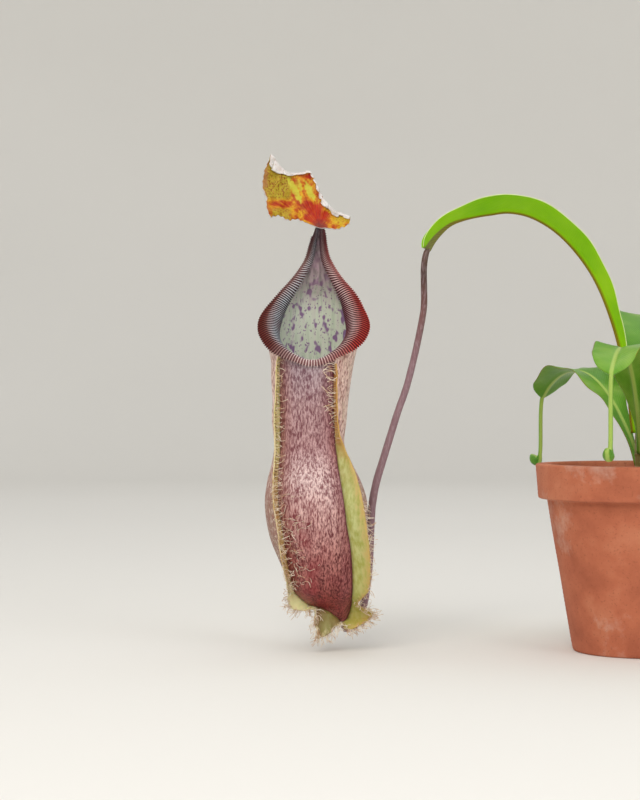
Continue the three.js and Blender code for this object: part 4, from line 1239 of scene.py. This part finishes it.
leaves = {
    # half width along the blade, fold and wave of the blade, where its end turns round
    "side": {
        "widths": [[0, 0.2], [0.12, 0.17], [0.3, 0.5], [0.5, 0.93], [0.68, 1], [0.86, 0.88],
                   [0.95, 0.62], [1, 0.12]],
        "fold": 0.18, "wave": 1.7, "roundFrom": 0.9, "endKeel": 0,
    },
    # the long leaf is folded upwards like a gutter, and its brown midrib runs on into the tendril
    "main": {
        "widths": [[0, 0.2], [0.12, 0.17], [0.3, 0.5], [0.5, 0.93], [0.66, 1.05], [0.77, 1.1],
                   [0.825, 1.04], [0.866, 0.88], [0.9, 0.78], [0.938, 0.75], [0.972, 0.66],
                   [0.99, 0.44], [1, 0.16]],
        "fold": 0.5, "wave": 0.4, "roundFrom": 0.994, "endKeel": 0.9,
    },
    "bladeThickness": 1.1,
    "keel": 1.9,
    "groove": 0.9,
    "waveLength": 37,
    "bladeSteps": 72,
    "tailSteps": 44,
    "stalkRadius": 2.3,
    "tailRadius": 1.6,
    "budRadius": 4.0,
    "budFrom": 0.72,
    "stemGap": 5.6,
    # name, direction, base height, reach, tip height, rise, half width, hanging length
    "around": [
        ["leaf_front_left", -108, 150, 138, 205, 66, 19, 62],
        ["leaf_front", -62, 133, 165, 165, 56, 22, 70],
        ["leaf_front_right", -14, 154, 172, 232, 64, 23, 84],
        ["leaf_right", 34, 137, 178, 172, 54, 22, 66],
        ["leaf_back", 80, 158, 160, 236, 66, 21, 78],
        ["leaf_back_left", 116, 141, 140, 190, 62, 19, 58],
    ],
    "mainSpine": [
        [-6.4, 0, 163], [-11, 0, 200], [-21, 0, 243], [-38, 0, 283], [-62, 0, 312], [-84, 0, 325.5],
        [-101, 0, 328.8], [-114.5, 0, 327.2], [-125, 0, 325.5], [-135.5, 0, 322.8],
        [-144.5, 0, 319], [-152, 0, 313], [-158, 0, 306.3], [-161.6, 0, 300.5],
    ],
    "mainSteps": 110,
    "mainHalfWidth": 21,
    "mainEndRadius": 2.0,
    # skin: deep, middle and pale colour, midrib, its width, how far it spreads before the tendril,
    # margin, roughness, how strongly it mirrors
    "skins": {
        # its pale margin colour is a painted highlight along the leaf's upper edge
        "glossyLeafSkin": [
            "#7fc400", "#8ccd02", "#a0d816", "#804818", 2.8, 3.6, "#eef4b8", 0.42, 0.1],
        "matureLeafSkin": [
            "#47801c", "#5f9426", "#86ab44", "#a9c05e", 1.9, 0, "#857a1e", 0.32, 0.25],
        "youngLeafSkin": [
            "#79a52c", "#8fb53a", "#aac85a", "#aac85a", 1.5, 0, "#8a8a2c", 0.36, 0.25],
    },
}
acrossHalf = [0, 0.03, 0.07, 0.12, 0.19, 0.28, 0.38, 0.49, 0.6, 0.71, 0.82, 0.91, 0.97, 1]
acrossSteps = [-a for a in acrossHalf[:0:-1]] + acrossHalf


# path: points in mm; the first bladeCount steps carry the blade, and the rest the hanging tendril.
def leafPiece(name, shape, path, bladeCount, sideways, halfWidth, radiusAt, seed, finish):
    rings, out, run, edge, travelled = [], [], [], [], 0
    for i, spot in enumerate(path):
        along = (path[min(i + 1, len(path) - 1)] - path[max(i - 1, 0)]).normalized()
        upward = along.cross(sideways).normalized()
        across = upward.cross(along).normalized()
        travelled += (spot - path[i - 1]).length if i else 0
        share = min(i / bladeCount, 1)
        rounding = smoothStep(shape["roundFrom"], 1, share)
        solid = max(rounding, 1 - smoothStep(0.06, 0.26, share))
        radius = radiusAt(max(0, (i - bladeCount) / max(len(path) - 1 - bladeCount, 1)))
        width = thick = radius
        if i < bladeCount:
            width = max(halfWidth * between(shape["widths"], share)[0], radius)
            thick = mix(leaves["stalkRadius"], leaves["tailRadius"], share)
        fade = smoothStep(0.2, 0.4, share) * (1 - rounding)
        keel = mix(1, 0.35, share) + shape["endKeel"] * smoothStep(0.88, 1, share)
        ring = []
        for top in (True, False):
            for u in (acrossSteps if top else acrossSteps[-2:0:-1]):
                reach = abs(u) * width
                side = math.sqrt(max(0, 1 - u * u))
                blade = 0.5 * leaves["bladeThickness"] * side ** 0.5
                ripple = 0.14 * math.cos(turn * abs(u) * 4.5) * fade
                if top:
                    lift = blade - leaves["groove"] * math.exp(-(reach / 1.2) ** 2) * fade + ripple
                else:
                    lift = -blade - leaves["keel"] * math.exp(-(reach / 2.1) ** 2) * keel + ripple
                phase = seed + (1.3 if u > 0 else 0)
                wave = math.sin(turn * travelled / leaves["waveLength"] + phase)
                sagging = shape["fold"] * reach + shape["wave"] * fade * abs(u) ** 2.5 * wave
                tube = thick * side * (1 if top else -1)
                lift = mix(lift + sagging, tube + shape["fold"] * reach * (1 - rounding), solid)
                ring.append(spot + across * u * width + upward * lift)
                out.append(u * width)
                run.append(travelled)
                edge.append(abs(u) * (1 - rounding))
        rings.append(ring)
    return loftPiece(name, rings, {"out": out, "run": run, "edge": edge}, [finish])


# Leaf: thick glossy cuticle, bright yellow-green with a paler midrib and a thin margin, which on the
# glossy leaf is a pale painted highlight.
def leafFinish(name):
    deep, main, pale, rib, ribWidth, ribEnd, margin, roughness, specular = leaves["skins"][name]
    finish, tree, at = newFinish(
        name, {"Roughness": roughness, "IOR": 1.45, "Specular IOR Level": specular},
        ("out", "run", "edge"), cloud=(36, 4, 0.5), fine=(2, 2, 0.5))
    distance = add(tree, "Math", at.out, operation="ABSOLUTE")
    # the midrib spreads over the last 40 mm before the tendril, and turns grey-brown
    spread = add(tree, "MapRange", at.run, 235, 276, 0, ribEnd)
    beside = add(tree, "Math", distance, spread, operation="SUBTRACT")
    ribColour = coated(tree, rib, ("#775c52", (spread, 0, 3.6)))
    # side veins 2.6 mm apart that leave the midrib at a slant
    slant = add(tree, "Math", distance, -1.4, at.run, operation="MULTIPLY_ADD")
    slant = add(tree, "Math", at.cloud, 9, slant, operation="MULTIPLY_ADD")
    vein = add(tree, "Math", slant, turn / 2.6, operation="MULTIPLY")
    vein = add(tree, "Math", vein, operation="SINE")
    # the margin coat is the leaf's own edge colour, and on the glossy leaf a painted highlight
    colour = coated(
        tree, add(tree, "ValToRGB", at.cloud, stops=[(0.3, deep), (0.5, main), (0.72, pale)]),
        (ribColour, (beside, 0.5 * ribWidth, ribWidth, 0.85, 0)), (pale, (vein, 0.75, 1, 0, 0.28)),
        (margin, (at.edge, 0.955, 0.985, 0, 0.85)))
    relief = add(tree, "Math", vein, 0.5, at.fine, operation="MULTIPLY_ADD")
    return closeFinish(finish, colour, relief, 0.22)


# The hanging tendril of a side leaf swells to a small closed bud at its end.
def tailRadius(share):
    bulge = clamp((share - leaves["budFrom"]) / (1 - leaves["budFrom"]))
    swell = (leaves["budRadius"] - leaves["tailRadius"]) * math.sin(math.pi * bulge ** 1.4)
    return leaves["tailRadius"] + swell


brightLeaf, matureLeaf = leafFinish("glossyLeafSkin"), leafFinish("matureLeafSkin")
mainPath = smoothLine(leaves["mainSpine"], leaves["mainSteps"])
mainLeaf = leafPiece("leaf_main_blade", leaves["main"], mainPath, leaves["mainSteps"] + 1,
                     Vector((0, -1, 0)), leaves["mainHalfWidth"],
                     lambda share: leaves["mainEndRadius"], 0.6, brightLeaf)
place(mainLeaf, "leaf", "leaf_main")

for order, (name, heading, foot, reach, tip, rise, halfWidth, hang) in enumerate(leaves["around"]):
    outward, start, pull = polar(math.radians(heading)), leaves["stemGap"], 0.6 * reach
    rising = polar(math.radians(rise), pull)
    # the blade's start, two handles and tip, and then the same for the tail: distance, height
    bladeKnots = ((start, foot - 2), (start + rising.x, foot + rising.y),
                  (0.72 * reach, tip + 0.28 * reach), (reach, tip))
    tailKnots = ((reach, tip), (reach + 0.12 * hang, tip - 0.35 * hang),
                 (reach - 0.1 * hang, tip - 1.15 * hang), (reach + 0.28 * hang, tip - 0.82 * hang))
    blade, tail = [
        bezierLine(*[outward * distance + up * height for distance, height in knots], count)
        for knots, count in ((bladeKnots, leaves["bladeSteps"]), (tailKnots, leaves["tailSteps"]))]
    piece = leafPiece(name + "_blade", leaves["side"], blade + tail[1:], leaves["bladeSteps"],
                      Vector((-outward.y, outward.x, 0)), halfWidth, tailRadius, 1.9 * order,
                      matureLeaf)
    place(piece, "leaf", name)
print("leaves ready")

# The short shoot: old leaves left scars round it, at these shares of its height.
stem = {
    "foot": 119.5, "top": 184, "footRadius": 6.2, "topRadius": 4.9, "steps": 90, "sides": 40,
    "scars": (0.12, 0.27, 0.43, 0.58, 0.74, 0.88), "scarHeight": 0.09,
    "colours": [(0.3, "#6b5636"), (0.45, "#84753e"), (0.6, "#8e9444")],
    "flecks": "#4f4230",
}


def stemRelief(angle, share):
    scars = sum(math.exp(-((share - s) / 0.012) ** 2) for s in stem["scars"])
    rough = noise.noise(polar(angle, 2, share * 14))
    return stem["scarHeight"] * scars + 0.03 * math.sin(7 * angle + 4 * share) + 0.05 * rough


def stemRadius(share):
    return mix(stem["footRadius"], stem["topRadius"], share) * (1 + 0.5 * (1 - share) ** 14)


stemLine = [Vector((0.25 * math.sin(i / 11), 0.25 * math.cos(i / 13),
                    mix(stem["foot"], stem["top"], i / stem["steps"])))
            for i in range(stem["steps"] + 1)]
stemRings = tubeRings(stemLine, stemRadius, stem["sides"], stemRelief)
place(loftPiece("stem_shoot", stemRings, finishes=[cordFinish("shootBark", stem)]), "stem", "stem")

# The young leaf stands rolled up on the shoot; its free edge winds round it by this many turns.
youngLeaf = {"foot": 183.4, "height": 66, "radius": 4.2, "winding": 1.4, "steps": 60, "sides": 32}


def youngPiece(finish):
    rings, out, run, edge = [], [], [], []
    height = youngLeaf["height"]
    for share in shares(youngLeaf["steps"]):
        centre = Vector((3 * share * share, -5 * share * share,
                         youngLeaf["foot"] + share * (height - 0.4)))
        narrowing = math.sqrt(max(0, 1 - share * share)) * (1 - 0.25 * share)
        radius = youngLeaf["radius"] * narrowing + 0.35
        ring = []
        for angle in angles(youngLeaf["sides"]):
            lap = (angle / turn + youngLeaf["winding"] * share) % 1
            layer = 1 - 0.2 * lap + 0.03 * math.sin(6 * angle)
            ring.append(centre + polar(angle) * radius * layer)
            out.append(3 + 8 * lap)
            run.append(share * height)
            edge.append(1.0 if lap > 0.965 else 0.0)
        rings.append(ring)
    return loftPiece("leaf_young_rolled", rings, {"out": out, "run": run, "edge": edge}, [finish])


place(youngPiece(leafFinish("youngLeafSkin")), "leaf", "leaf_young")
print("stem and young leaf ready")

pot = {
    "height": 140, "baseRadius": 52, "topRadius": 76, "bandRadius": 80, "bandHeight": 26,
    "floor": 8, "wall": 6, "drainRadius": 6, "drainCircle": 28, "drainCount": 4, "drainSides": 32,
    "sides": 144, "round": 2.0, "step": 1.6, "wheelLines": 0.09, "dents": 0.22,
    "clay": [(0.3, "#a0553a"), (0.5, "#b9694a"), (0.7, "#c97f5e")],
}


def potInner(height):
    flare = (pot["topRadius"] - pot["baseRadius"]) / pot["height"]
    return pot["baseRadius"] - pot["wall"] + flare * height


# Corners of a turned outline, each rounded to an arc.
def roundedOutline(corners, radius, steps=6):
    made = []
    for before, corner, after in zip(corners, corners[1:], corners[2:]):
        back, ahead = (before - corner), (after - corner)
        cut = min(radius, back.length / 2.2, ahead.length / 2.2)
        a, b = corner + back.normalized() * cut, corner + ahead.normalized() * cut
        made += [a * (1 - t) ** 2 + corner * 2 * t * (1 - t) + b * t * t for t in shares(steps)]
    return [corners[0], *made, corners[-1]]


def lengthened(outline, step):
    made = [outline[0]]
    for a, b in zip(outline, outline[1:]):
        count = max(1, round((b - a).length / step))
        made += [a.lerp(b, k / count) for k in range(1, count + 1)]
    return made


def potPiece(finish):
    top, bandFoot, floor = pot["height"], pot["height"] - pot["bandHeight"], pot["floor"]
    corners = [Vector(p) for p in (
        (0, 0), (pot["baseRadius"], 0), (potInner(bandFoot) + pot["wall"], bandFoot),
        (pot["bandRadius"] - 2, bandFoot), (pot["bandRadius"], top), (potInner(top), top),
        (potInner(floor), floor), (0, floor))]
    rings = []
    for r, z in lengthened(roundedOutline(corners, pot["round"]), pot["step"])[1:-1]:
        onWall = window(2, 6, top - 3, top - 1, z)
        ring = []
        for angle in angles(pot["sides"]):
            lines = pot["wheelLines"] * math.sin(z * 2.1 + 0.4 * math.sin(angle)) * onWall
            dent = pot["dents"] * noise.noise(polar(angle, 1, z / 60) * 1.7) * onWall
            ring.append(polar(angle, r + lines + dent, z))
        rings.append(ring)
    piece = loftPiece("pot_terracotta", rings, finishes=[finish], hubs=[Vector(), up * floor])
    for k in range(pot["drainCount"]):
        hub = polar(turn * (k + 0.5) / pot["drainCount"], pot["drainCircle"])
        drill = loftPiece("drill", [[hub + polar(angle, pot["drainRadius"], z)
                                     for angle in angles(pot["drainSides"])] for z in (-12, 24)])
        cut = piece.modifiers.new("drain", "BOOLEAN")
        cut.object, cut.operation, cut.solver = drill, "DIFFERENCE", "EXACT"
        settle(piece)
        bpy.data.objects.remove(drill)
    place(piece, "terracotta", "pot")


# Terracotta: fired clay, matt and dusty orange, with dark grit and a chalky bloom of salts.
def terracottaFinish():
    finish, tree, at = newFinish("firedTerracotta", {"Roughness": 0.88, "IOR": 1.5},
                                 clay=(45, 5, 0.6), grit=(1.6, 2, 0.5), salts=(75, 6, 0.68))
    salts = add(tree, "Math", at.salts, add(tree, "MapRange", at.height, 0, 0.14, 0.05, -0.03))
    colour = coated(
        tree, add(tree, "ValToRGB", at.clay, stops=pot["clay"]),
        ("#7f4330", (at.grit, 0.6, 0.7, 0, 0.4)), ("#d9c2b2", (salts, 0.55, 0.72, 0, 0.6)))
    return closeFinish(finish, colour, at.grit, 0.35, 0.0003)


potPiece(terracottaFinish())
print("pot ready")

soil = {
    "edge": 118, "crown": 3, "gap": 0.3, "rings": 46, "sides": 120, "lowerRings": (100, 60, 30),
    "bareMiddle": 0.012,
    "crumbs": [(0.3, "#1f150e"), (0.5, "#3d2b1d"), (0.68, "#6b4e35")],
    # what lies on it: number in a square metre, sizes and radii in metres
    "scattered": {
        "bark_chips": {"Density": 9000.0, "Smallest": 0.0035, "Largest": 0.0075, "Flatness": 0.42,
                       "Roughen": 0.004, "Seed": 3},
        "perlite": {"Density": 5200.0, "Smallest": 0.0012, "Largest": 0.0024, "Flatness": 0.9,
                    "Roughen": 0.0014, "Seed": 8},
    },
    # Bark: dry conifer chips, red-brown and fibrous. Perlite: white puffed glass, matt and chalky.
    "finishes": {
        "bark_chips": ["coniferBark", 0.85, (0.34, "#2f1d12"), (0.5, "#6b4429"), (0.66, "#9a7049")],
        "perlite": ["perliteGrains", 0.9, (0.34, "#c9c4ba"), (0.5, "#e9e6df"), (0.66, "#f6f5f1")],
    },
}


def soilPiece(finish):
    outer, foot = potInner(soil["edge"]) - soil["gap"], pot["floor"] + soil["gap"]
    rings = []
    for share in shares(soil["rings"])[1:]:
        ring = [polar(angle) * outer * share for angle in angles(soil["sides"])]
        for spot in ring:
            lumpy = 1.6 * noise.noise(spot * 0.09)
            lumpy += 1.1 * noise.noise(spot * 0.35 + Vector((5, 0, 0)))
            sink = soil["crown"] * (1 - share * share) + lumpy * min(1, 6 * share)
            spot.z = soil["edge"] - 0.6 + sink
        rings.append(ring)
    for height in (*soil["lowerRings"], foot):
        radius = potInner(height) - soil["gap"]
        rings.append([polar(angle, radius, height) for angle in angles(soil["sides"])])
    hubs = [up * (soil["edge"] + soil["crown"] - 0.4), up * foot]
    return loftPiece("soil_bed", rings, finishes=[finish], hubs=hubs)


# Scatters rough lumps over the upward faces between two radii.
def lumpTree():
    tree, given = newTree("scatteredLumps", {
        "Density": "Float", "Smallest": "Float", "Largest": "Float", "Flatness": "Float",
        "Roughen": "Float", "Inner radius": "Float", "Outer radius": "Float", "Seed": "Int"})
    seed = given["Seed"]
    spot = add(tree, "GeometryNodeInputPosition")
    level = add(tree, "VectorMath", spot, (1, 1, 0), operation="MULTIPLY")
    radius = add(tree, "VectorMath", level, operation="LENGTH")
    facing = add(tree, "SeparateXYZ", add(tree, "GeometryNodeInputNormal")).outputs["Z"]
    farEnough, nearEnough, upward = [
        add(tree, "FunctionNodeCompare", value, limit, operation=operation)
        for value, limit, operation in ((radius, given["Inner radius"], "GREATER_THAN"),
                                        (radius, given["Outer radius"], "LESS_THAN"),
                                        (facing, 0.5, "GREATER_THAN"))]
    wanted = add(tree, "FunctionNodeBooleanMath", farEnough, nearEnough)
    wanted = add(tree, "FunctionNodeBooleanMath", wanted, upward)
    spread = add(tree, "GeometryNodeDistributePointsOnFaces",
                 {"Mesh": given["Geometry"], "Selection": wanted, "Density": given["Density"],
                  "Seed": seed})
    lump = add(tree, "GeometryNodeMeshCube", (2, 2, 2), 3, 3, 3)
    tumble, shape = [
        add(tree, "FunctionNodeRandomValue", {"Min": low, "Max": high, "Seed": seed},
            data_type="FLOAT_VECTOR")
        for low, high in (((-0.5, -0.5, 0), (0.5, 0.5, turn)), ((0.5, 0.35, 0.6), (1, 0.8, 1)))]
    size = add(tree, "FunctionNodeRandomValue",
               {"Min": given["Smallest"], "Max": given["Largest"], "Seed": seed})
    flat = add(tree, "CombineXYZ", 1, 1, given["Flatness"])
    shape = add(tree, "VectorMath", shape, flat, operation="MULTIPLY")
    placed = add(tree, "GeometryNodeInstanceOnPoints",
                 {"Points": spread, "Instance": lump, "Rotation": tumble,
                  "Scale": add(tree, "VectorMath", shape, size, operation="SCALE")})
    real = add(tree, "GeometryNodeRealizeInstances", placed)
    grain = add(tree, "TexNoise", {"Vector": spot, "Scale": 1000 / 6, "Detail": 1}).outputs["Color"]
    shift = add(tree, "VectorMath", grain, (0.5, 0.5, 0.5), operation="SUBTRACT")
    shift = add(tree, "VectorMath", shift, given["Roughen"], operation="SCALE")
    rough = add(tree, "GeometryNodeSetPosition", {"Geometry": real, "Offset": shift})
    return closeTree(tree, given, rough)


# Potting mix: crumbled bark and peat, nearly black where damp, brown where dry.
soilTop = soilPiece(plainFinish("dampPottingMix", {"Roughness": 0.95, "IOR": 1.4}, (3, 5, 0.7),
                                soil["crumbs"], 0.9, 0.0012))
place(soilTop, "potting_mix", "soil")
lumps = lumpTree()
for name, values in soil["scattered"].items():
    piece = bpy.data.objects.new(name, soilTop.data.copy())
    scene.collection.objects.link(piece)
    piece.data.materials.clear()
    label, roughness, *stops = soil["finishes"][name]
    finish = plainFinish(label, {"Roughness": roughness, "IOR": 1.45}, (4.8, 5, 0.65), stops,
                         0.7, 0.001)
    runTree(piece, lumps, {**values, "Inner radius": soil["bareMiddle"], "Finish": finish,
                           "Outer radius": (potInner(soil["edge"]) - 6) * metre})
    place(piece, "potting_mix")
print("potting mix ready")
